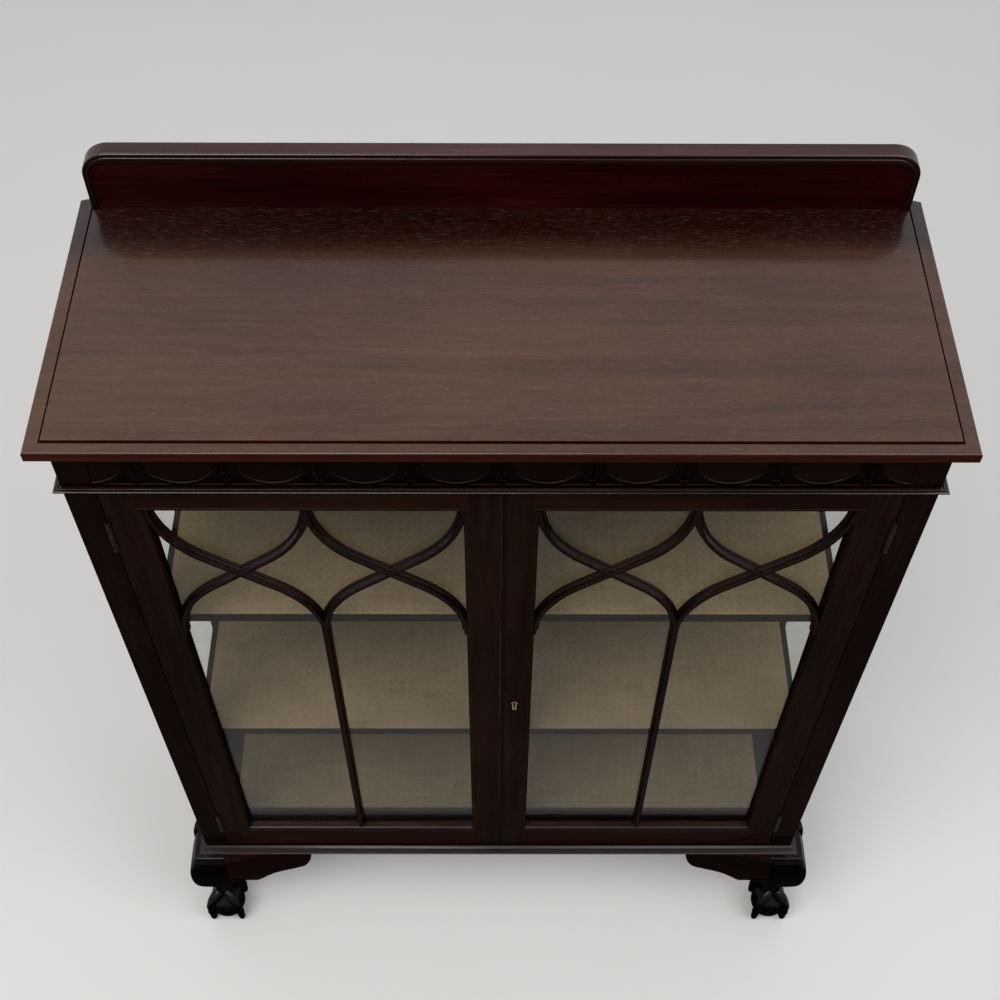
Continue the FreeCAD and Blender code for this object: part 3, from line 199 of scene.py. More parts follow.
def wood(name, grain, colours, roughness=(0.26, 0.4), upright=(0.0, 0.025), level=(0.5, 0.4), pores=0.35,
         wear=0.3, level_sheen=(1.9, 1.7, 1.6), dust=0.0, shade=0.0, offset=0.0):
    """Polished mahogany: broad figure, fine streaks, open pores and rubbed edges. Upright faces
    have sunk polish and level ones a full one (specular, coat), with dust and a painted sheen
    that lightens them. A shade is the depth in metres of the painted shadow in front of the gallery."""
    g = Graph(name)
    where = g.node("TexCoord").outputs["Object"]
    behind = g.node("SeparateXYZ", {0: where}).outputs["Y"]
    where = g.node("VectorMath", {0: where, 1: (offset, offset * 0.7, offset * 1.3)},
                   operation="ADD").outputs[0]
    along = g.place(where, GRAIN[grain])
    cloud = g.noise(where, 3.1, 3.0, 0.5, 0.4)
    figure = g.noise(along, 1.9, 4.0, 0.55, 0.8)
    streak = g.noise(along, 14.0, 6.0, 0.7, 0.2)
    fine = g.noise(where, 190.0, 3.0, 0.6)
    fleck = g.noise(g.place(where, tuple(46.0 if s > 1 else 4.5 for s in GRAIN[grain])), 15.0, 2.0, 0.5)
    tone = g.math("MULTIPLY_ADD", figure, 0.34, g.math("MULTIPLY", streak, 0.3))
    tone = g.math("MULTIPLY_ADD", cloud, 0.3, tone)
    tone = g.math("MULTIPLY_ADD", fine, 0.12, tone)
    colour = g.ramp(g.spread(tone, 0.37, 0.69), colours)
    pore = g.spread(fleck, 0.58, 0.72)
    darker = g.blend(1.0, colour, PORE_SHADE, "MULTIPLY")
    colour = g.blend(g.math("MULTIPLY", pore, pores), colour, darker)
    normal = g.node("NewGeometry").outputs["Normal"]
    up = g.spread(g.node("SeparateXYZ", {0: normal}).outputs["Z"], 0.3, 0.9)
    # Painted sheen: level faces are multiplied lighter and greyer, standing for the reflection and
    # highlights they catch.
    painted_light = g.blend(1.0, colour, (*level_sheen, 1), "MULTIPLY")
    colour = g.blend(up, colour, painted_light)
    # Painted shadow: the top is darkened in front of the gallery, where the gallery shades it and
    # darkens its reflection.
    if shade:
        in_gallery_shadow = g.node("MapRange", {"Value": behind, "From Min": GALLERY_FACE_Y - shade * 1.9,
                                   "From Max": GALLERY_FACE_Y - shade * 0.5},
                      interpolation_type="SMOOTHERSTEP").outputs["Result"]
        colour = g.blend(in_gallery_shadow, colour, g.blend(1.0, colour, GALLERY_SHADE, "MULTIPLY"))
    if dust:
        streaks = g.place(where, tuple(75.0 if s > 1 else 10.0 for s in GRAIN[grain]))
        spot = g.noise(streaks, 12.0, 2.0, 0.5)
        light = g.math("MULTIPLY", g.spread(spot, 0.56, 0.76), g.math("MULTIPLY", up, dust))
        colour = g.blend(light, colour, DUST_COLOUR)
    if wear:
        edge = g.node("Bevel", {"Radius": WEAR_RADIUS}, samples=3).outputs["Normal"]
        turned = g.node("VectorMath", {0: normal, 1: edge}, operation="DOT_PRODUCT").outputs["Value"]
        rubbed = g.math("MULTIPLY", g.spread(turned, 0.995, 0.9), g.spread(cloud, 0.35, 0.65, 0.25, 1.0))
        worn = g.blend(1.0, colour, RUBBED, "MULTIPLY")
        colour = g.blend(g.math("MULTIPLY", rubbed, wear), colour, worn)
    dull = g.noise(where, 7.0, 5.0, 0.6)
    rough = g.math("MULTIPLY_ADD", pore, 0.12, g.spread(dull, 0.3, 0.7, *roughness))
    height = g.math("MULTIPLY_ADD", pore, -0.8, g.math("MULTIPLY", streak, 0.3))
    bump = g.node("Bump", {"Height": height, "Strength": 0.2, "Distance": 0.0003}).outputs[0]
    return g.finish(g.node("BsdfPrincipled", {
        "Base Color": colour, "Roughness": rough, "Coat Roughness": 0.1, "Normal": bump,
        "Specular IOR Level": g.spread(up, 0.0, 1.0, upright[0], level[0]),
        "Coat Weight": g.spread(up, 0.0, 1.0, upright[1], level[1])}).outputs[0])


THREAD_PITCH, SPOT_PITCH = 0.0021, 0.0125
SLUB_FINE, SLUB_LONG = 260.0, 18.0


def woven(name, dark, light, across, along):
    """Plain-woven cloth of two thread directions, with slubs, faint soiling and painted shade towards
    the back and the bottom.
    """
    g = Graph(name)
    where = g.node("TexCoord").outputs["Object"]
    split = g.node("SeparateXYZ", {0: where})
    waver = g.noise(where, 40.0, 2.0)

    def threads(way):
        turns = g.math("MULTIPLY", split.outputs[way], 2 * math.pi / THREAD_PITCH)
        return g.math("SINE", g.math("MULTIPLY_ADD", waver, 1.2, turns))

    def slubs(way):
        stretch = [SLUB_FINE] * 3
        stretch["XYZ".index(way)] = SLUB_LONG
        return g.noise(g.place(where, stretch), 1.0, 3.0)

    def spots(way):
        return g.math("SINE", g.math("MULTIPLY", split.outputs[way], 2 * math.pi / SPOT_PITCH))

    thread = g.math("MULTIPLY", threads(across), threads(along))
    slub_a, slub_b = slubs(across), slubs(along)
    soil = g.noise(where, 5.0, 4.0, 0.6)
    spot = g.math("MULTIPLY", spots(across), spots(along))
    tone = g.math("MULTIPLY_ADD", thread, 0.1, g.math("MULTIPLY", g.math("ADD", slub_a, slub_b), 0.42))
    tone = g.math("MULTIPLY_ADD", spot, 0.06, g.math("MULTIPLY_ADD", soil, 0.3, tone))
    colour = g.ramp(g.spread(tone, 0.2, 0.95), ((0.0, dark), (1.0, light)))
    # Painted shade: darker towards the back and lower down, where the top board and the upper shelf
    # shade the cloth.
    painted_light = g.math("MULTIPLY", g.spread(split.outputs["Y"], -0.1, 0.15, 1.0, 0.6),
                   g.spread(split.outputs["Z"], 0.28, 0.86, 0.66, 1.0))
    colour = g.node("VectorMath", {0: colour, "Scale": painted_light}, operation="SCALE").outputs[0]
    height = g.math("MULTIPLY_ADD", thread, 0.5, slub_a)
    bump = g.node("Bump", {"Height": height, "Strength": 0.5, "Distance": 0.0004}).outputs[0]
    return g.finish(g.node("BsdfPrincipled", {
        "Base Color": colour, "Roughness": 0.88, "Specular IOR Level": 0.15, "Sheen Weight": 0.18,
        "Sheen Roughness": 0.5, "Normal": bump}).outputs[0])


def pane(name):
    """Old clear glass: mostly transparent, with a faint wave and a little dust."""
    g = Graph(name)
    where = g.node("TexCoord").outputs["Object"]
    wave = g.noise(where, 9.0, 2.0)
    bump = g.node("Bump", {"Height": wave, "Strength": 0.08, "Distance": 0.002}).outputs[0]
    dust = g.spread(g.noise(where, 23.0, 6.0, 0.7), 0.45, 0.75, 0.0, 1.0)
    clear = g.node("BsdfTransparent", {
        "Color": g.blend(dust, (0.955, 0.955, 0.94, 1), (0.91, 0.91, 0.89, 1))})
    shine = g.node("BsdfGlossy", {"Color": (1, 1, 1, 1), "Roughness": 0.02, "Normal": bump})
    facing = g.node("LayerWeight", {"Blend": 0.5, "Normal": bump}).outputs["Facing"]
    share = g.math("MULTIPLY_ADD", g.math("POWER", facing, 5.0), 0.35, 0.005)
    return g.finish(g.node("MixShader", {0: share, 1: clear.outputs[0], 2: shine.outputs[0]}).outputs[0])


def metal(name, bright, dark, rough):
    """Aged brass: polished highlights and brown tarnish in patches."""
    g = Graph(name)
    where = g.node("TexCoord").outputs["Object"]
    patch = g.spread(g.noise(where, 210.0, 5.0, 0.65), 0.35, 0.65)
    fine = g.noise(where, 1400.0, 3.0)
    colour = g.blend(patch, bright, dark)
    bump = g.node("Bump", {"Height": fine, "Strength": 0.12, "Distance": 0.0001}).outputs[0]
    return g.finish(g.node("BsdfPrincipled", {
        "Base Color": colour, "Metallic": 1.0, "Roughness": g.spread(patch, 0, 1, rough, rough + 0.25),
        "Normal": bump}).outputs[0])


def plain(name, colour):
    """The pale floor."""
    g = Graph(name)
    where = g.node("TexCoord").outputs["Object"]
    tone = g.spread(g.noise(where, 2.0, 2.0), 0.3, 0.7, 0.985, 1.0)
    tinted = g.node("VectorMath", {0: colour[:3], "Scale": tone}, operation="SCALE").outputs[0]
    return g.finish(g.node("BsdfPrincipled", {
        "Base Color": tinted, "Roughness": 0.85, "Specular IOR Level": 0.1}).outputs[0])


def stops(*colours):
    """A wood's ramp, from its dark streaks to its light ones."""
    places = (0.0, 0.45, 0.8, 1.0) if len(colours) == 4 else (0.0, 0.5, 1.0)
    return tuple(zip(places, colours))


# Painted shade: the mahogany gets lit and shaded copies of one colour. The top's is lightest, the
# upright fronts' darker, and the frieze's, ears' and legs', which stand in shade under the top and the
# carcass, darkest.
TOP = ((0.0, (0.012, 0.0019, 0.0006)), (0.4, (0.0226, 0.004, 0.0013)),
       (0.75, (0.0333, 0.0065, 0.0024)), (1.0, (0.0466, 0.0102, 0.0049)))
FRAME = stops((0.0018, 0.0007, 0.0004), (0.0046, 0.0016, 0.0009), (0.0084, 0.003, 0.0017),
              (0.0128, 0.0046, 0.0028))
STILE = stops((0.0034, 0.0014, 0.0008), (0.0083, 0.0033, 0.0019), (0.014, 0.0059, 0.0035),
              (0.0202, 0.0086, 0.0052))
RAIL = stops((0.0044, 0.0015, 0.0006), (0.0101, 0.0031, 0.0014), (0.017, 0.0057, 0.0026),
             (0.0236, 0.0085, 0.0042))
RED = stops((0.0049, 0.0003, 0.0002), (0.0115, 0.0009, 0.0005), (0.0206, 0.0023, 0.0016),
            (0.0289, 0.0047, 0.0035))
EAR = stops((0.0013, 0.0001, 0.0001), (0.0035, 0.0003, 0.0002), (0.0069, 0.0008, 0.0005),
            (0.0109, 0.0017, 0.0011))
SHADED_FRIEZE = stops((0.0009, 0.0003, 0.0002), (0.0026, 0.001, 0.0007), (0.0056, 0.0024, 0.0018))
OVAL = stops((0.0016, 0.0003, 0.0003), (0.0042, 0.0012, 0.0009), (0.0084, 0.0026, 0.0019))
SHADED_LEGS = stops((0.0002, 0.0002, 0.0002), (0.0009, 0.0005, 0.0003), (0.0024, 0.0014, 0.001))
INNER = stops((0.0045, 0.0034, 0.0022), (0.0095, 0.0072, 0.0047), (0.018, 0.014, 0.0095))
PLY = stops((0.07, 0.036, 0.02), (0.115, 0.062, 0.034), (0.16, 0.09, 0.05))

# After the colours: roughness from and to, (specular, coat) of upright and then of level faces,
# pores, wear, the painted sheen of level faces, dust and the depth of the painted gallery shadow.
top_wood = wood("mahogany_top", "x", TOP, (0.24, 0.34), (0.0, 0.04), (0.5, 0.72), 0.3, 0.1,
                (2.2, 4.2, 5.0), 0.1, 0.055)
frame_z = wood("mahogany_post", "z", FRAME, offset=3.1)
stile_z = wood("mahogany_stile", "z", STILE, offset=7.7)
rail_x = wood("mahogany_rail", "x", RAIL, offset=1.4)
side_y = wood("mahogany_side", "y", FRAME, offset=5.2)
red_x = wood("mahogany_gallery", "x", RED, (0.2, 0.32), (0.0, 0.03), (0.5, 0.3), 0.2, 0.1, (2.4, 6, 7),
             offset=9.3)
dark_x = wood("mahogany_frieze", "x", SHADED_FRIEZE, (0.3, 0.45), (0.0, 0.015), (0.5, 0.4), 0.3, 0.0,
              (9, 10, 11), offset=2.2)
moulding_x = wood("mahogany_moulding", "x", FRAME, (0.3, 0.4), (0.0, 0.04), (0.4, 0.12), 0.2, 0.2,
                  (2.4, 2.8, 3.2), offset=4.6)
sight_wood = wood("mahogany_sight", "z", STILE, (0.3, 0.4), (0.0, 0.03), (0.3, 0.1), 0.3, 0.2,
                  offset=7.7)
bead_wood = wood("mahogany_bead", "z", FRAME, (0.3, 0.4), (0.0, 0.03), (0.3, 0.1), 0.2, 0.0,
                 offset=1.2)
waist_wood = wood("mahogany_waist", "x", FRAME, (0.2, 0.28), (0.0, 0.06), (0.5, 1.0), 0.1, 0.2,
                  (3, 3.8, 4.4), offset=5.7)
bar_wood = wood("mahogany_bar", "z", FRAME, (0.2, 0.32), (0.0, 0.06), (0.3, 0.25), 0.15, 0.0,
                offset=6.4)
leg_wood = wood("mahogany_leg", "z", SHADED_LEGS, (0.2, 0.34), (0.0, 0.015), (0.2, 0.1), 0.25, 0.0,
                (6, 6, 6), offset=8.1)
ear_wood = wood("mahogany_ear", "x", EAR, (0.25, 0.4), (0.0, 0.02), (0.2, 0.1), 0.25, 0.0,
                offset=2.9)
inner_wood = wood("inner_board", "x", INNER, (0.45, 0.6), (0.0, 0.0), (0.1, 0.0), 0.3, 0.2, (1, 1, 1),
                  offset=1.9)
back_wood = wood("back_board", "z", PLY, (0.55, 0.7), (0.2, 0.0), (0.2, 0.0), 0.4, 0.15, (1, 1, 1),
                 offset=0.8)
floor_cloth_stuff = woven("cloth_floor", (0.18, 0.13, 0.07), (0.4, 0.3, 0.175), "X", "Y")
back_cloth_stuff = woven("cloth_back", (0.17, 0.122, 0.066), (0.37, 0.275, 0.16), "X", "Z")
glass = pane("old_glass")
brass = metal("aged_brass", (0.62, 0.45, 0.2, 1), (0.2, 0.13, 0.06, 1), 0.28)
# A much darker copy of the brass for the hinges and screws: partly tarnish, partly painted shade for the
# narrow gap where the hinges sit.
dark_brass = metal("dark_brass", (0.018, 0.013, 0.01, 1), (0.008, 0.0058, 0.0045, 1), 0.55)

NODE_LOOKS = {
    "gallery_board": red_x, "back_panel": back_wood, "floor_board": inner_wood,
    "upper_shelf": inner_wood, "lower_shelf": inner_wood, "shelf_bearers": inner_wood,
    "back_top_rail": inner_wood, "door_stop_rail": inner_wood, "cock_bead": bead_wood,
    "escutcheon": brass, "post_hinge_leaves": dark_brass, "lock_case": brass, "lock_bolt": brass,
    "slide_bolt_cases": brass, "top_slide_bolt": brass, "bottom_slide_bolt": brass,
    "side_glass_beads": side_y,
}
ENDINGS = (("hinge_leaves", dark_brass), ("glass_beads", frame_z), ("_glass", glass), ("_post", frame_z),
           ("_stile", stile_z), ("sight_moulding", sight_wood), ("door_top_rail", rail_x),
           ("door_bottom_rail", rail_x), ("side_top_rail", side_y), ("side_bottom_rail", side_y))


def look_of(node):
    if node in NODE_LOOKS:
        return NODE_LOOKS[node]
    for ending, material in ENDINGS:
        if node.endswith(ending):
            return material
    return frame_z


SHARP = {"glass", "leaves", "bolt", "case", "escutcheon"}
FINE_ARRIS, WOOD_ARRIS = 0.00015, 0.0005
for node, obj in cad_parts.items():
    obj.data.materials.clear()
    obj.data.materials.append(look_of(node))
    small = any(word in node for word in SHARP)
    if node.endswith("_glass"):
        continue
    for face in obj.data.polygons:
        face.use_smooth = True
    weld = obj.modifiers.new("weld", "WELD")
    weld.merge_threshold = 1e-5
    soften = obj.modifiers.new("arris", "BEVEL")
    soften.width = FINE_ARRIS if small else WOOD_ARRIS
    soften.segments = 2
    soften.limit_method = "ANGLE"
    soften.angle_limit = math.radians(32)
    soften.use_clamp_overlap = True
    even = obj.modifiers.new("shade", "WEIGHTED_NORMAL")
    even.keep_sharp = True

# ---- places from the frame
frieze_low, frieze_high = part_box("frieze")
bars_low, bars_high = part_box("right_door_glazing_bars")
gallery_low, gallery_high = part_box("gallery_board")
leg_low, leg_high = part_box("front_right_leg")
post_low, post_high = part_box("right_front_post")
CORNER_X, CORNER_Y = post_high.x, post_low.y
LEG_TOP = leg_high.z

# ---- glazing bars: a moulded nose with a quirk and a fillet each side
BAR_PROFILE = ((5.5, 0.0), (5.5, 2.6), (5.0, 3.0), (4.1, 3.1), (3.7, 3.5), (3.1, 4.2), (2.75, 5.2),
               (2.7, 8.9), (2.5, 9.6), (2.0, 9.97), (1.55, 9.85), (0.8, 9.6), (0.0, 9.55))


def bar_ring(x, z, across):
    """The bar's section at a point of its line, across being the unit vector over it."""
    profile = [(s, out) for s, out in BAR_PROFILE]
    profile += [(-s, out) for s, out in reversed(BAR_PROFILE[:-1])]
    face = bars_high.y
    return [Vector((x + across[0] * s * MM, face - out * MM, z + across[1] * s * MM))
            for s, out in profile]


def ogee_line(start, end, top, fall, bend_share):
    """Points of an ogee: arc, straight, arc, upright at both ends."""
    way = 1 if end > start else -1
    half_run, half_fall = abs(end - start) / 2, fall / 2
    radius = (half_run ** 2 + half_fall ** 2) / (2 * half_run) * bend_share
    to_x, to_z = half_run - radius, -half_fall
    square = to_x ** 2 + to_z ** 2
    reach = math.sqrt(square - radius ** 2)
    touch = ((radius ** 2 * to_x + radius * reach * to_z) / square,
             (radius ** 2 * to_z - radius * reach * to_x) / square)
    sweep = math.atan2(-touch[1], -touch[0])
    steps = 22
    half = []
    for index in range(steps + 1):
        turn = sweep * index / steps
        half.append((start + way * (radius - radius * math.cos(turn)), top - radius * math.sin(turn)))
    middle = ((start + end) / 2, top - half_fall)
    for share in (0.5, 1.0):
        half.append((half[steps][0] + (middle[0] - half[steps][0]) * share,
                     half[steps][1] + (middle[1] - half[steps][1]) * share))
    other = [(2 * middle[0] - x, 2 * middle[1] - z) for x, z in reversed(half[:-1])]
    return half + other


def bar_along(line):
    """A bar swept along (x, z) points, cut level at both ends."""
    rings = []
    for index, (x, z, run) in enumerate(runs(line)):
        if index in (0, len(line) - 1):
            run = Vector((0, -1))
        rings.append(bar_ring(x, z, (-run.y, run.x)))
    return loft(rings)


OGEE_RISE, OGEE_FALL, OGEE_BEND = 2.5 * MM, 252 * MM, 0.9132
BAR_MIDWAY = 0.6
sight_in, sight_out, sight_top = bars_low.x, bars_high.x, bars_high.z
middle_x = (sight_in + sight_out) / 2
top_z = sight_top + OGEE_RISE
bars = [bar_along(ogee_line(start, end, top_z, OGEE_FALL, OGEE_BEND))
        for start, end in ((sight_in, middle_x), (middle_x, sight_in), (middle_x, sight_out),
                           (sight_out, middle_x))]
bars.append(bar_along([(middle_x, top_z - OGEE_FALL), (middle_x, BAR_MIDWAY), (middle_x, bars_low.z)]))
for hand, side in (("left", -1), ("right", 1)):
    piece(f"{hand}_lattice", mirror(join(bars), side), bar_wood, f"{hand}_door",
          replaces=[f"{hand}_door_glazing_bars"])

# ---- lippings that close the gap between the doors at the face
LIP_FREE, LIP_FACE, LIP_TIP, LIP_ROOT = 0.16 * MM, 0.3 * MM, 7.5 * MM, 8 * MM
for hand, side in (("left", -1), ("right", 1)):
    stile_low, stile_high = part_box(f"{hand}_door_meeting_stile")
    edge_x, face_y = stile_high.x if side < 0 else stile_low.x, stile_low.y
    shut = side * LIP_FREE
    outline = ((edge_x, face_y + LIP_FACE), (shut, face_y + LIP_FACE), (shut, face_y + LIP_TIP),
               (edge_x, face_y + LIP_ROOT))
    lipping = loft([[Vector((x, y, z)) for x, y in outline] for z in (stile_low.z, stile_high.z)])
    piece(f"{hand}_door_lipping", lipping, stile_z, f"{hand}_door", crease=30)

# ---- gallery reeds
CORNER_ROUND = 30 * MM
REEDS = (5.5 * MM, 8.0 * MM)
END_REEDS = 0.48
REED_BACK, REED_OUT, REED_GROOVE = gallery_low.y, 3.0 * MM, 1.2 * MM


def reed_profile(share):
    """(distance in from the rim, stand out from the board) round the two reeds."""
    profile = [(0.0, 0.0)]
    edge = 0.0
    for width in REEDS:
        for step in range(13):
            turn = math.pi * step / 12
            profile.append(((edge + width * (1 - math.cos(turn)) / 2) * share,
                            REED_GROOVE + (REED_OUT - REED_GROOVE) * math.sin(turn) ** 0.8))
        edge += width
    profile.append((edge * share, 0.0))
    return profile


def rim_line():
    """Points of the rim with their inward directions and the reeds' share of their full width."""
    half, foot, top = gallery_high.x, gallery_low.z, gallery_high.z
    spring, shoulder = top - CORNER_ROUND, half - CORNER_ROUND
    line = [((-half, z), (1, 0), END_REEDS) for z in (foot, (foot + spring) / 2)]
    for step in range(17):
        turn = math.pi / 2 * step / 16
        line.append(((-shoulder - CORNER_ROUND * math.cos(turn), spring + CORNER_ROUND * math.sin(turn)),
                     (math.cos(turn), -math.sin(turn)),
                     END_REEDS + (1 - END_REEDS) * smooth_step(step / 16)))
    line += [((x, top), (0, -1), 1.0) for x in (-shoulder / 2, 0.0)]
    return line + [((-p[0], p[1]), (-n[0], n[1]), share) for p, n, share in reversed(line[:-1])]


rings = [[Vector((p[0] + n[0] * inward, REED_BACK - out, p[1] + n[1] * inward))
          for inward, out in reed_profile(share)] for p, n, share in rim_line()]
reed_wood = wood("mahogany_reed", "x", RAIL, (0.16, 0.26), (0.0, 0.1), (0.5, 1.0), 0.15, 0.0,
                 (3, 2.4, 2.4), offset=4.1)
piece("gallery_reeds", loft(rings), reed_wood, replaces=["gallery_bead"])

# ---- mouldings mitred round the front and both sides
def mitred(low, high, front_profile, side_profile):
    """A closed moulding from (distance in, height) profiles, its front corners mitred."""
    corners = ((low.x, high.y), (low.x, low.y), (high.x, low.y), (high.x, high.y))
    inward = ((1, 0), (1, 1), (-1, 1), (-1, 0))
    rings = [[Vector((x + in_x * side[0], y + in_y * ahead[0], ahead[1]))
              for side, ahead in zip(side_profile, front_profile)]
             for (x, y), (in_x, in_y) in zip(corners, inward)]
    return rings


def mitred_board(rings):
    """A board whose edge is moulded, with one flat face above and one below."""
    count = len(rings[0])
    verts = [point for ring in rings for point in ring]
    faces = []
    for side in range(3):
        a, b = side * count, (side + 1) * count
        faces += [(a + k, a + k + 1, b + k + 1, b + k) for k in range(count - 1)]
    faces.append(tuple(corner * count for corner in range(4)))
    faces.append(tuple(corner * count + count - 1 for corner in (3, 2, 1, 0)))
    faces.append(tuple(range(count)) + tuple(3 * count + k for k in reversed(range(count))))
    return verts, faces


# ---- top board: a field, a quirk at its step, a falling border, a tight nose, an upright edge
FIELD_STEP, QUIRK = 2.0 * MM, (2.1 * MM, 3.2 * MM)
FRONT_BORDER, SIDE_BORDER, FRONT_PROUD = 12.6 * MM, 17.5 * MM, 1.2 * MM
BORDER_FALL, BORDER_BEND = 2.7 * MM, 1.3
NOSE_REACH, NOSE_FALL, LOW_ROUND = 2.4 * MM, 2.8 * MM, 1.6 * MM
FLAT_REACH = 14 * MM
top_low, top_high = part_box("top_board")


def edge_profile(border_width, proud=0.0):
    """From the field, over the step and the nose, to the underside; proud is how far past the
    board's outline the nose stands."""
    field, border = top_high.z, top_high.z - FIELD_STEP
    lip, wall = border_width, border_width - QUIRK[0]
    profile = [(lip + FLAT_REACH, field), (lip + 0.8 * MM, field), (lip + 0.2 * MM, field - 0.25 * MM),
               (lip, field - 0.8 * MM), (lip, border - QUIRK[1]), (wall, border - QUIRK[1]),
               (wall, border - 0.2 * MM), (wall - 0.3 * MM, border)]
    brow = border - BORDER_FALL
    profile += [(NOSE_REACH + (wall - NOSE_REACH) * (1 - share),
                 border - BORDER_FALL * share ** BORDER_BEND) for share in (0.25, 0.5, 0.75, 1.0)]
    for step in range(1, 8):
        turn = math.pi / 2 * step / 7
        profile.append((NOSE_REACH * (1 - math.sin(turn)), brow - NOSE_FALL * (1 - math.cos(turn))))
    for step in range(5):
        turn = math.pi / 2 * step / 4
        profile.append((LOW_ROUND * (1 - math.cos(turn)), top_low.z + LOW_ROUND * (1 - math.sin(turn))))
    profile.append((SIDE_BORDER + FLAT_REACH, top_low.z))
    return [(inward - proud, level) for inward, level in profile]


rings = mitred(top_low, top_high, edge_profile(FRONT_BORDER, FRONT_PROUD), edge_profile(SIDE_BORDER))
piece("top_board_moulded", mitred_board(rings), top_wood, replaces=["top_board"], crease=35)

# ---- waist moulding: two fine beads with a quirk behind each
waist_low, waist_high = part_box("waist_moulding")
WAIST_DEPTH = CORNER_Y - waist_low.y
WAIST_STEPS = ((0.0, 0.0), (0.0, 1.0), (2.2, 1.0), (2.3, 2.5), (2.6, 2.8), (3.5, 2.8), (3.8, 2.5),
               (3.9, 1.4), (4.6, 1.4), (4.7, 1.9), (5.0, 2.1), (6.6, 2.1), (7.1, 1.8), (7.3, 1.2),
               (7.2, 0.5), (6.9, 0.0))


def waist_profile():
    """Distance in from the outline, and height."""
    return [(WAIST_DEPTH - out * MM, waist_low.z + up * MM) for out, up in WAIST_STEPS]


rings = mitred(waist_low, waist_high, waist_profile(), waist_profile())
piece("waist_moulded", loft(rings), waist_wood, replaces=["waist_moulding"], crease=35)

# ---- base: a sloping step with a quirk under it, then a longer slope out to the foot
base_low, base_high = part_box("base_board")
BASE_DEPTH = CORNER_Y - base_low.y
BASE_STEPS = ((-19, 18), (0, 18), (0, 7), (0.3, 6.7), (3.6, 5.6), (4.1, 5.1), (3.3, 4.9), (3.3, 2.2),
              (4.3, 2), (8.8, 1), (10, 0.7), (10.7, 0.3), (10.9, 0), (-19, 0))


def base_profile():
    """From inside the board's upper face, down its moulded edge, to inside its lower face."""
    return [(BASE_DEPTH - out * MM, base_low.z + up * MM) for out, up in BASE_STEPS]


rings = mitred(base_low, base_high, base_profile(), base_profile())
piece("base_moulded", mitred_board(rings), moulding_x, replaces=["base_board"], crease=30)

# ---- frieze: a blind fret of hanging arches with a husk between each pair
FACE_Y, SINK = frieze_low.y, 1.5 * MM
PANEL_LOW, PANEL_HIGH = frieze_low.z + 6.2 * MM, frieze_high.z - 4 * MM
ARCH_PITCH, ARCH_INNER, ARCH_BAND = 90.8 * MM, 37 * MM, 5 * MM
ARCH_Z = PANEL_LOW + ARCH_INNER + 3.2 * MM
ARCH_GROUND, GROUND_PROUD = ARCH_INNER - 0.8 * MM, 0.35 * MM
BAND_ARRIS, FRET_CREST = 0.3 * MM, FACE_Y + 0.05 * MM
LEAF_LEAN, LEAF_LENGTH, LEAF_WIDTH = 0.3, 14 * MM, 3.4 * MM
LEAF_SECTION = ((-1, SINK), (-0.75, 0.7 * MM), (0, 0.1 * MM), (0.75, 0.7 * MM), (1, SINK))
STEM_LENGTH, STEM_WIDTH, HUSK_WIDTH = 30 * MM, 2.2 * MM, 7 * MM


def board_with_panel():
    """The frieze board with its sunk ground."""
    low, high = frieze_low, frieze_high
    outline = [(high.y, low.z), (FACE_Y, low.z), (FACE_Y, PANEL_LOW), (FACE_Y + SINK, PANEL_LOW),
               (FACE_Y + SINK, PANEL_HIGH), (FACE_Y, PANEL_HIGH), (FACE_Y, high.z), (high.y, high.z)]
    return loft([[Vector((x, y, z)) for y, z in outline] for x in (low.x, high.x)])


def raised(line, width, crest):
    """A flat band over an open line of (x, z) points, with small bevels at its arrises."""
    rings = []
    for x, z, run in runs(line):
        across = Vector((-run.y, run.x))
        section = ((-1, 0, FACE_Y + SINK), (-1, 0, crest + BAND_ARRIS), (-1, BAND_ARRIS, crest),
                   (1, -BAND_ARRIS, crest), (1, 0, crest + BAND_ARRIS), (1, 0, FACE_Y + SINK))
        rings.append([Vector((x + across.x * (s * width / 2 + shift), y,
                              z + across.y * (s * width / 2 + shift))) for s, shift, y in section])
    return loft(rings)


def arch_line(cx, first, last):
    """A hanging arch from the top of the panel down and round: first and last are its sides."""
    radius = ARCH_INNER + ARCH_BAND / 2
    line = []
    for step in range(first, last + 1):
        turn = math.pi * step / 32
        line.append((cx - radius * math.cos(turn), ARCH_Z - radius * math.sin(turn)))
    if first == 0:
        line.insert(0, (cx - radius, PANEL_HIGH))
    if last == 32:
        line.append((cx + radius, PANEL_HIGH))
    return line


def arch_inside(cx, from_x, to_x):
    """The slightly proud ground inside an arch."""
    rim = [(x, PANEL_HIGH - 0.4 * MM) for x in (to_x, from_x)]
    for step in range(25):
        x = from_x + (to_x - from_x) * (1 - math.cos(math.pi * step / 24)) / 2
        rim.append((x, ARCH_Z - math.sqrt(max(ARCH_GROUND ** 2 - (x - cx) ** 2, 0))))
    return loft([[Vector((x, y, z)) for x, z in rim]
                 for y in (FACE_Y + SINK, FACE_Y + SINK - GROUND_PROUD)])


def leaf(cx, foot, length, lean, width):
    """A tapering leaf with a ridge, its midrib bending outwards as it rises."""
    rises = [step / 8 for step in range(9)]
    line = [(cx + math.sin(lean) * length * rise ** 1.4, foot + math.cos(lean) * length * rise)
            for rise in rises]
    rings = []
    for share, (x, z, run) in zip(rises, runs(line)):
        half = width / 2 * (0.25 + 0.75 * math.sin(math.pi * min(0.15 + share * 0.8, 1.0)))
        across = Vector((-run.y, run.x))
        rings.append([Vector((x + across.x * half * s, FACE_Y + deep, z + across.y * half * s))
                      for s, deep in LEAF_SECTION])
    return loft(rings)


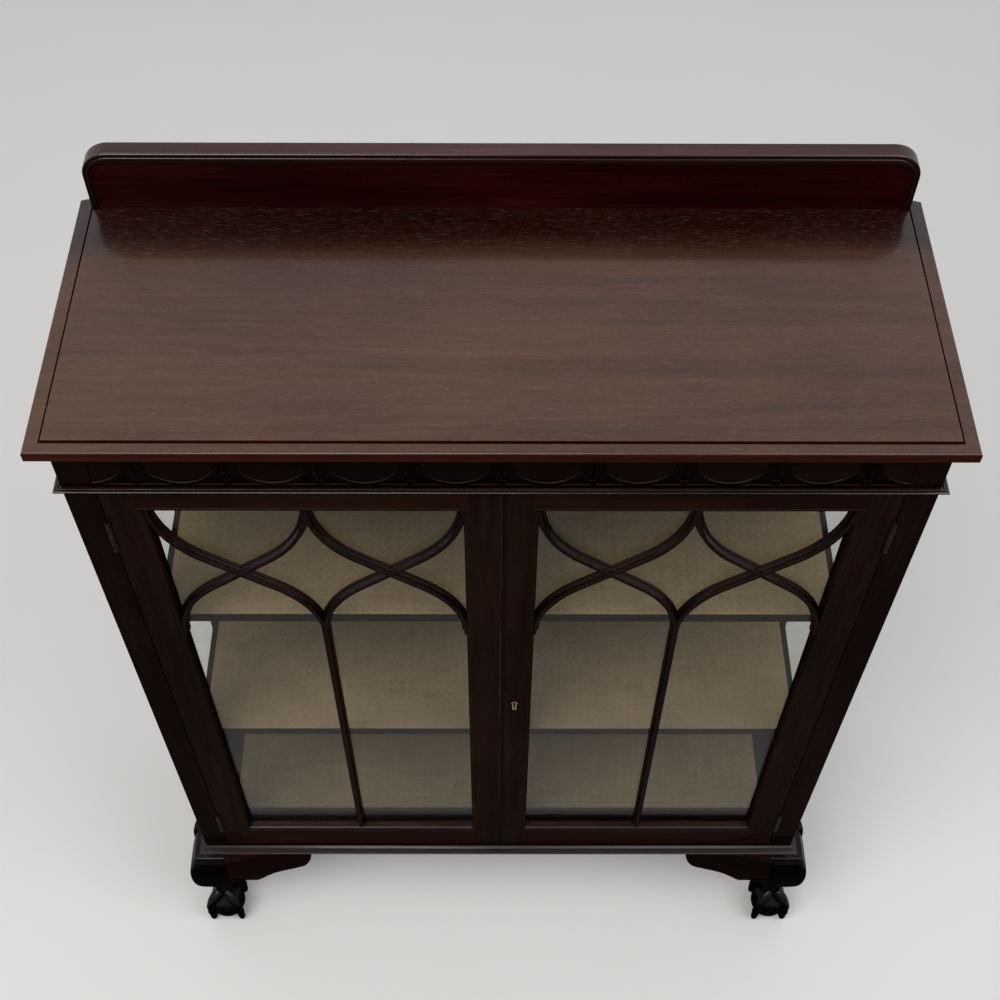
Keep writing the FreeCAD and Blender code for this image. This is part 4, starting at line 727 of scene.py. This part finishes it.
fret, insides = [], []
end_x = frieze_high.x
for index in range(-5, 5):
    cx = (index + 0.5) * ARCH_PITCH
    first, last = (16, 32) if index == -5 else (0, 16) if index == 4 else (0, 32)
    line = [(min(max(x, -end_x), end_x), z) for x, z in arch_line(cx, first, last)]
    fret.append(raised(line, ARCH_BAND, FRET_CREST))
    insides.append(arch_inside(cx, max(cx - ARCH_GROUND, -end_x), min(cx + ARCH_GROUND, end_x)))
for index in range(-4, 5):
    cx, foot = index * ARCH_PITCH, PANEL_LOW + 5.5 * MM
    for lean in (-LEAF_LEAN, LEAF_LEAN):
        fret.append(leaf(cx, foot, LEAF_LENGTH, lean, LEAF_WIDTH))
    fret.append(leaf(cx, foot + 1 * MM, STEM_LENGTH, 0.0, STEM_WIDTH))
    fret.append(raised([(cx, PANEL_LOW - 0.5 * MM), (cx, foot + 1.5 * MM)], HUSK_WIDTH,
                       FRET_CREST + 0.2 * MM))
piece("frieze_board_sunk", board_with_panel(), dark_x, replaces=["frieze"], crease=35)
piece("frieze_fret", join(fret), dark_x, crease=35)
oval_wood = wood("mahogany_arch", "x", OVAL, (0.24, 0.36), (0.0, 0.03), (0.4, 0.3), 0.25, 0.0,
                 offset=6.9)
piece("frieze_arches", join(insides), oval_wood, crease=35)

# ---- cabriole legs
# In mm: (height, reach out from or in past the carcass's corner), and the power of the section,
# round at 2 and squarer above it. The claw has (reach, height, width) down a toe.
LEG_OUT = ((28, 24.5), (40, 25), (52, 21.5), (61, 12.5), (70, 2), (80, -1.5), (91, 1.8), (112, 10.8),
           (127, 17.5), (142, 24.5), (158, 30.0), (178, 31.6), (196, 30.8), (214, 27.2), (228, 23.0),
           (240, 18.5))
LEG_IN = ((28, 24.5), (40, 25), (52, 25.5), (61, 27.5), (70, 29.5), (80, 30.5), (91, 31.0), (120, 30.5),
          (150, 30.5), (182, 30.5), (204, 30.5), (224, 30.5), (240, 30.5))
LEG_SQUARE = ((28, 2.6), (50, 3.0), (66, 2.4), (80, 2.3), (100, 2.8), (120, 3.6), (142, 5.0),
              (165, 6.4), (200, 7.5), (225, 9.0), (240, 10.0))
CLAW = ((7, 76, 8.5), (16, 71.5, 9.2), (23.5, 65, 8.6), (28.6, 57.5, 7.2), (30.4, 49.5, 7.5),
        (31, 41, 6.2), (31.6, 32.5, 7.2), (31.4, 24, 6.0), (31.6, 16, 6.2), (31.8, 9, 5.4),
        (32.0, 4, 3.8))
SHANK_FOOT, SHANK_HEAD = 30, 240
BLOCK_LOW, BLOCK_HIGH, BLOCK_IN, BLOCK_OUT = 120, 240, -41, -14
BALL_RADIUS, BALL_LIFT, BALL_FLAT = 27.4, 0.4, 0.8
SKIN_VOXEL, SKIN_RUBS = 1.3 * MM, 3


def leg_shell():
    """The shank and knee, in mm, from a ring at each level."""
    rings = []
    levels = 74
    for index in range(levels + 1):
        z = SHANK_FOOT + (SHANK_HEAD - SHANK_FOOT) * index / levels
        out, inn = curve_value(LEG_OUT, z), curve_value(LEG_IN, z)
        power = curve_value(LEG_SQUARE, z)
        centre, half = (out - inn) / 2, (out + inn) / 2
        ring = []
        for step in range(64):
            turn = 2 * math.pi * step / 64
            c, s = math.cos(turn), math.sin(turn)
            ring.append(Vector((centre + half * math.copysign(abs(c) ** (2 / power), c),
                                centre + half * math.copysign(abs(s) ** (2 / power), s), z)))
        rings.append(ring)
    return loft(rings)


def claw_tube(angle):
    """One toe: knuckled, tapering to a talon on the floor, in an upright plane."""
    rings = []
    steps = 60
    outward = Vector((math.cos(angle), math.sin(angle), 0))
    side = Vector((-math.sin(angle), math.cos(angle), 0))
    rs, zs, ws = ([(i, point[k]) for i, point in enumerate(CLAW)] for k in range(3))
    last = len(CLAW) - 1
    for index in range(steps + 1):
        t = last * index / steps
        here = (curve_value(rs, t), curve_value(zs, t))
        ahead = (curve_value(rs, min(t + 0.05, last)), curve_value(zs, min(t + 0.05, last)))
        behind = (curve_value(rs, max(t - 0.05, 0)), curve_value(zs, max(t - 0.05, 0)))
        run = Vector((ahead[0] - behind[0], ahead[1] - behind[1])).normalized()
        width = max(curve_value(ws, t), 0.6)
        lift = outward * -run.y + Vector((0, 0, run.x))
        centre = outward * here[0] + Vector((0, 0, here[1]))
        rings.append([centre + lift * (width * math.cos(2 * math.pi * k / 20))
                      + side * (width * 0.92 * math.sin(2 * math.pi * k / 20)) for k in range(20)])
    return loft(rings)


def ball_shell(radius, lift, flat):
    """A ball, squarer in section than a sphere where flat is under 1, so that it stands."""
    rings = []
    for index in range(1, 24):
        turn = math.pi * index / 24
        z = lift + radius * (1 - math.copysign(abs(math.cos(turn)) ** flat, math.cos(turn)))
        round_z = radius * math.sin(turn) ** flat
        turns = [2 * math.pi * k / 40 for k in range(40)]
        rings.append([Vector((round_z * math.cos(t), round_z * math.sin(t), z)) for t in turns])
    return loft(rings)


def fused(name, parts, voxel, smooth_times):
    """Closed shells fused into one skin and smoothed."""
    mesh = mesh_from(name, *join(parts))
    obj = bpy.data.objects.new(name, mesh)
    scene.collection.objects.link(obj)
    remesh = obj.modifiers.new("fuse", "REMESH")
    remesh.mode = "VOXEL"
    remesh.voxel_size = voxel
    remesh.use_smooth_shade = True
    smooth = obj.modifiers.new("rub", "SMOOTH")
    smooth.factor = 0.5
    smooth.iterations = smooth_times
    bpy.context.view_layer.update()
    graph = bpy.context.evaluated_depsgraph_get()
    made = bpy.data.meshes.new_from_object(obj.evaluated_get(graph))
    bpy.data.objects.remove(obj)
    made.name = name
    return made


block_plan = ((BLOCK_IN, BLOCK_IN), (BLOCK_OUT, BLOCK_IN), (BLOCK_OUT, BLOCK_OUT), (BLOCK_IN, BLOCK_OUT))
block = loft([[Vector((x, y, z)) for x, y in block_plan] for z in (BLOCK_LOW, BLOCK_HIGH)])
shells = [leg_shell(), block, ball_shell(BALL_RADIUS, BALL_LIFT, BALL_FLAT)]
shells += [claw_tube(math.radians(45 + 90 * k)) for k in range(4)]
shells = [([Vector(v) * MM for v in verts], faces) for verts, faces in shells]
one_leg = fused("leg_skin", shells, SKIN_VOXEL, SKIN_RUBS)
lowest = min(vertex.co.z for vertex in one_leg.vertices)
for vertex in one_leg.vertices:
    # The smoothed skin is let down until it stands on the floor.
    vertex.co.z -= (lowest - leg_low.z) * (1 - smooth_step(vertex.co.z / (70 * MM)))
for name, side, end in (("front_right_leg", 1, 1), ("front_left_leg", -1, 1), ("rear_right_leg", 1, -1),
                        ("rear_left_leg", -1, -1)):
    mesh = one_leg.copy()
    mesh.name = name + "_skin"
    # In the shells +X and +Y both point away from the carcass at the corner.
    mesh.transform(Matrix(((side, 0, 0, side * CORNER_X), (0, -end, 0, end * CORNER_Y), (0, 0, 1, 0),
                           (0, 0, 0, 1))))
    if side * end > 0:
        mesh.flip_normals()
    for vertex in mesh.vertices:
        vertex.co.z = min(max(vertex.co.z, leg_low.z), LEG_TOP)
    for face in mesh.polygons:
        face.use_smooth = True
    piece(name + "_carved", mesh, leg_wood, replaces=[name])

# ---- ear brackets
EAR_THICK, EAR_START, EAR_TIP, EAR_LOW, EAR_TOP = 20, 28.5, 156, 119, 240
EAR_EDGE = ((28.5, 119), (42, 119), (56, 119), (61, 121.5), (66, 134), (77, 149), (94, 159.5),
            (122, 166), (140, 174), (150, 193), (155, 217), (156, 240))
FRONT_EAR, SIDE_EAR = 127.5, 105.5
BLEND, EDGE_HIGH, EDGE_DEEP = 0.45, 3.0, 2.0


def ear_shape(length):
    """An ear in mm: x from the corner inwards (negative), y out to the front, z up."""
    steps = 6
    last = len(EAR_EDGE) - 1
    ins, lows = ([(i, point[k]) for i, point in enumerate(EAR_EDGE)] for k in (0, 1))
    stretch = length / (EAR_TIP - EAR_START)
    rows = 18
    rings = []
    for index in range(last * steps + 1):
        t = index / steps
        inward, low = curve_value(ins, t), min(max(curve_value(lows, t), EAR_LOW), EAR_TOP - 0.5)
        inward = EAR_START + (inward - EAR_START) * stretch
        along = (inward - EAR_START) / length
        plan = 4 + 25.5 * (1 - along) ** 1.9
        column = []
        for row in range(rows + 1):
            z = low + (EAR_TOP - low) * row / rows
            share = (EAR_TOP - z) / (EAR_TOP - EAR_LOW)
            belly = 5.5 * math.sin(math.pi * min(share / 0.75, 1.0)) * (1 - along)
            bow = 24.5 + belly - 20.0 * share ** 2.6
            out = -math.log(math.exp(-BLEND * plan) + math.exp(-BLEND * bow)) / BLEND
            edge = (z - low) / EDGE_HIGH
            if edge < 1:
                out -= EDGE_DEEP * (1 - math.sqrt(1 - (1 - edge) ** 2))
            column.append(Vector((-inward, out, z)))
        rings.append(column + [Vector((-inward, -EAR_THICK, EAR_TOP)),
                               Vector((-inward, -EAR_THICK, low))])
    return loft(rings)


def set_ear(shape, side, end, swap):
    """An ear's corners in place: at a corner, along the front or, swapped, along the side."""
    verts = []
    for v in shape[0]:
        u, w = (v.y, v.x) if swap else (v.x, v.y)
        verts.append(Vector((side * (CORNER_X + u * MM), end * (CORNER_Y - w * MM), v.z * MM)))
    return verts, shape[1]


long_ear, short_ear = ear_shape(FRONT_EAR), ear_shape(SIDE_EAR)
front_ears = join([set_ear(long_ear, side, 1, False) for side in (1, -1)])
side_ears = join([set_ear(short_ear, side, end, True) for side in (1, -1) for end in (1, -1)])
piece("front_ears_carved", front_ears, ear_wood, replaces=["front_ears"])
piece("side_ears_carved", side_ears, ear_wood, replaces=["side_ears"])


# ---- cloths, stretched and glued
CLOTH_CELL, CLOTH_HEM, CLOTH_RISE = 0.009, 0.012, 1.2 * MM


def cloth(name, low, high, flat_axis, material, rests_on, replaced, front):
    """A thin sheet between two corners. flat_axis is across it, front the side that shows."""
    axes = [k for k in range(3) if k != flat_axis]
    size = [high[k] - low[k] for k in axes]
    cells = [max(int(s / CLOTH_CELL), 8) for s in size]
    skin, under = (high, low) if front > 0 else (low, high)
    thick = abs(high[flat_axis] - low[flat_axis])
    verts, faces = [], []
    for layer in (0, 1):
        for i in range(cells[0] + 1):
            for j in range(cells[1] + 1):
                point = [0.0, 0.0, 0.0]
                point[axes[0]] = low[axes[0]] + size[0] * i / cells[0]
                point[axes[1]] = low[axes[1]] + size[1] * j / cells[1]
                inset = min(min(i, cells[0] - i) * size[0] / cells[0],
                            min(j, cells[1] - j) * size[1] / cells[1])
                if layer:
                    point[flat_axis] = under[flat_axis]
                else:
                    ripple = noise.noise(Vector(point) * 9.0) * 0.5 + 0.5
                    dip = 0.12 * MM * ripple + 0.45 * thick * (1 - smooth_step(inset / CLOTH_HEM))
                    point[flat_axis] = skin[flat_axis] - math.copysign(dip, front)
                verts.append(Vector(point))
    rows, columns = cells[0] + 1, cells[1] + 1
    layer_size = rows * columns
    for i in range(cells[0]):
        for j in range(cells[1]):
            a = i * columns + j
            quad = (a, a + 1, a + columns + 1, a + columns)
            faces.append(quad)
            faces.append(tuple(layer_size + k for k in reversed(quad)))
    border = ([j for j in range(columns)] + [i * columns + columns - 1 for i in range(1, rows)]
              + [(rows - 1) * columns + j for j in range(columns - 2, -1, -1)]
              + [i * columns for i in range(rows - 2, 0, -1)])
    for k, a in enumerate(border):
        b = border[(k + 1) % len(border)]
        faces.append((a, b, layer_size + b, layer_size + a))
    made = piece(name, (verts, faces), material, slot="cloth", replaces=[replaced])
    return made


cloths_low, cloths_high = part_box("shelf_cloths")
for level in ("upper", "lower"):
    shelf_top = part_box(f"{level}_shelf")[1].z
    corner = Vector((cloths_low.x, cloths_low.y, shelf_top))
    far = Vector((cloths_high.x, cloths_high.y, shelf_top + CLOTH_RISE))
    cloth(f"{level}_shelf_cloth", corner, far, 2, floor_cloth_stuff, [f"{level}_shelf"],
          "shelf_cloths", 1)
cloth("floor_cloth_sheet", *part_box("floor_cloth"), 2, floor_cloth_stuff, ["floor_board"],
      "floor_cloth", 1)
cloth("back_cloth_sheet", *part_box("back_cloth"), 1, back_cloth_stuff, ["back_panel"], "back_cloth", -1)


# ---- screws: slotted countersunk heads
def screw_head(centre, normal, radius, rise):
    """A low slotted head, its slot turned a little differently on each."""
    normal = Vector(normal)
    across = normal.orthogonal().normalized()
    other = normal.cross(across)
    turn = (centre[0] * 37.0 + centre[2] * 91.0 + centre[1] * 53.0) * 7.0
    rings = []
    for share, height in ((1.0, -0.2), (1.0, 0.55), (0.86, 1.0), (0.6, 1.12)):
        turns = [2 * math.pi * k / 20 for k in range(20)]
        rings.append([Vector(centre) + normal * (rise * height)
                      + (across * math.cos(t) + other * math.sin(t)) * (radius * share) for t in turns])
    head = loft(rings)
    along = across * math.cos(turn) + other * math.sin(turn)
    beside = normal.cross(along)
    half, wide = radius * 0.8, radius * 0.13
    corners = [Vector(centre) + along * (a * half) + beside * (b * wide) + normal * (rise * h)
               for h in (0.9, 1.2) for a, b in ((-1, -1), (1, -1), (1, 1), (-1, 1))]
    slot = corners, [(0, 3, 2, 1), (4, 5, 6, 7), (0, 1, 5, 4), (1, 2, 6, 5), (2, 3, 7, 6), (3, 0, 4, 7)]
    return head, slot


def screws(name, spots, normal, radius, rise, body, material=brass):
    heads, slots = zip(*[screw_head(spot, normal, radius, rise) for spot in spots])
    piece(name, join(heads), material, body, "brass")
    piece(name + "_slots", join(slots), painted_slot_shadow, body, "brass", smooth=False)


# Painted shadow: each slot is a dark box standing for the shade inside it.
painted_slot_shadow = metal("slot_shadow", (0.02, 0.015, 0.01, 1), (0.01, 0.008, 0.006, 1), 0.6)
HINGE_HALF, LEAF_X = 27 * MM, 407.5 * MM
SCREW_IN, SCREW_STAGGER, SCREW_PITCH = 11 * MM, 2.5 * MM, 18 * MM
HINGE_SCREW, BACK_SCREW = (2.4 * MM, 0.2 * MM), (3.2 * MM, 0.4 * MM)
for hand, side in (("left", -1), ("right", 1)):
    leaf_low, leaf_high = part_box(f"{hand}_door_hinge_leaves")
    ends = (leaf_low.z + HINGE_HALF, leaf_high.z - HINGE_HALF)
    stile_low, stile_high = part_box(f"{hand}_door_hinge_stile")
    edge_x = stile_high.x if side > 0 else stile_low.x
    spots = [(stile_low.y + SCREW_IN + (SCREW_STAGGER if k == 0 else 0), z + k * SCREW_PITCH)
             for z in ends for k in (-1, 0, 1)]
    screws(f"{hand}_door_screws", [(edge_x, y, z) for y, z in spots], (side, 0, 0), *HINGE_SCREW,
           f"{hand}_door", dark_brass)
    screws(f"{hand}_post_screws", [(side * LEAF_X, y, z) for y, z in spots], (-side, 0, 0), *HINGE_SCREW,
           "carcass", dark_brass)
panel_low, panel_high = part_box("back_panel")
PANEL_MARGIN = 9 * MM
first_x, last_x = panel_low.x + PANEL_MARGIN, panel_high.x - PANEL_MARGIN
first_z, last_z = panel_low.z + PANEL_MARGIN, panel_high.z - PANEL_MARGIN
spots = []
for index in range(6):
    x = first_x + (panel_high.x - panel_low.x - 2 * PANEL_MARGIN) * index / 5
    spots += [(x, panel_high.y, first_z), (x, panel_high.y, last_z)]
for index in range(1, 6):
    z = first_z + (panel_high.z - panel_low.z - 2 * PANEL_MARGIN) * index / 6
    spots += [(first_x, panel_high.y, z), (last_x, panel_high.y, z)]
screws("back_screws", spots, (0, 1, 0), *BACK_SCREW, "carcass", dark_brass)

# ---- stage, light and camera
FLOOR_REACH = 12.0
floor_mesh = bpy.data.meshes.new("floor")
corners = ((-1, -1), (1, -1), (1, 1), (-1, 1))
floor_mesh.from_pydata([(x * FLOOR_REACH, y * FLOOR_REACH, 0) for x, y in corners], [], [(0, 1, 2, 3)])
floor = bpy.data.objects.new("floor", floor_mesh)
scene.collection.objects.link(floor)
floor_mesh.materials.append(plain("pale_floor", (0.78, 0.77, 0.75, 1)))

world = bpy.data.worlds.new("studio")
scene.world = world
world.use_nodes = True
backdrop = world.node_tree.nodes["Background"]
backdrop.inputs["Color"].default_value = (0.95, 0.97, 1.0, 1)
backdrop.inputs["Strength"].default_value = 0.52


LAMP_TARGET = (0, 0, 0.7)


def lamp(name, place, size, energy, colour):
    data = bpy.data.lights.new(name, "AREA")
    data.shape = "RECTANGLE"
    data.size, data.size_y = size
    data.energy = energy
    data.color = colour
    obj = bpy.data.objects.new(name, data)
    obj.location = place
    obj.rotation_mode = "QUATERNION"
    obj.rotation_quaternion = (Vector(LAMP_TARGET) - Vector(place)).to_track_quat("-Z", "Y")
    scene.collection.objects.link(obj)


lamp("key", (-1.3, -1.7, 4.1), (2.2, 2.2), 85, (1.0, 0.98, 0.95))
lamp("fill", (1.9, -1.2, 3.6), (2.0, 2.0), 38, (0.97, 0.98, 1.0))

# The camera was solved from the corners of the top, the doors and the feet in the photo.
PITCH, YAW, ROLL = (math.radians(a) for a in (54.3568, 0.3977, -0.3960))
CAMERA_PLACE, LENS = Vector((-7.6, -1024.7, 2341.9)) * MM, 52.607
forward = Vector((math.sin(YAW) * math.cos(PITCH), math.cos(YAW) * math.cos(PITCH), -math.sin(PITCH)))
right = Vector((math.cos(YAW), -math.sin(YAW), 0))
down = forward.cross(right)
view_right = right * math.cos(ROLL) + down * math.sin(ROLL)
view_down = -right * math.sin(ROLL) + down * math.cos(ROLL)
camera_data = bpy.data.cameras.new("camera")
camera_data.sensor_width = 36.0
camera_data.lens = LENS
camera = bpy.data.objects.new("camera", camera_data)
scene.collection.objects.link(camera)
turn = Matrix((view_right, -view_down, -forward)).transposed()
camera.matrix_world = Matrix.Translation(CAMERA_PLACE) @ turn.to_4x4()
scene.camera = camera
scene.view_settings.view_transform = "Standard"
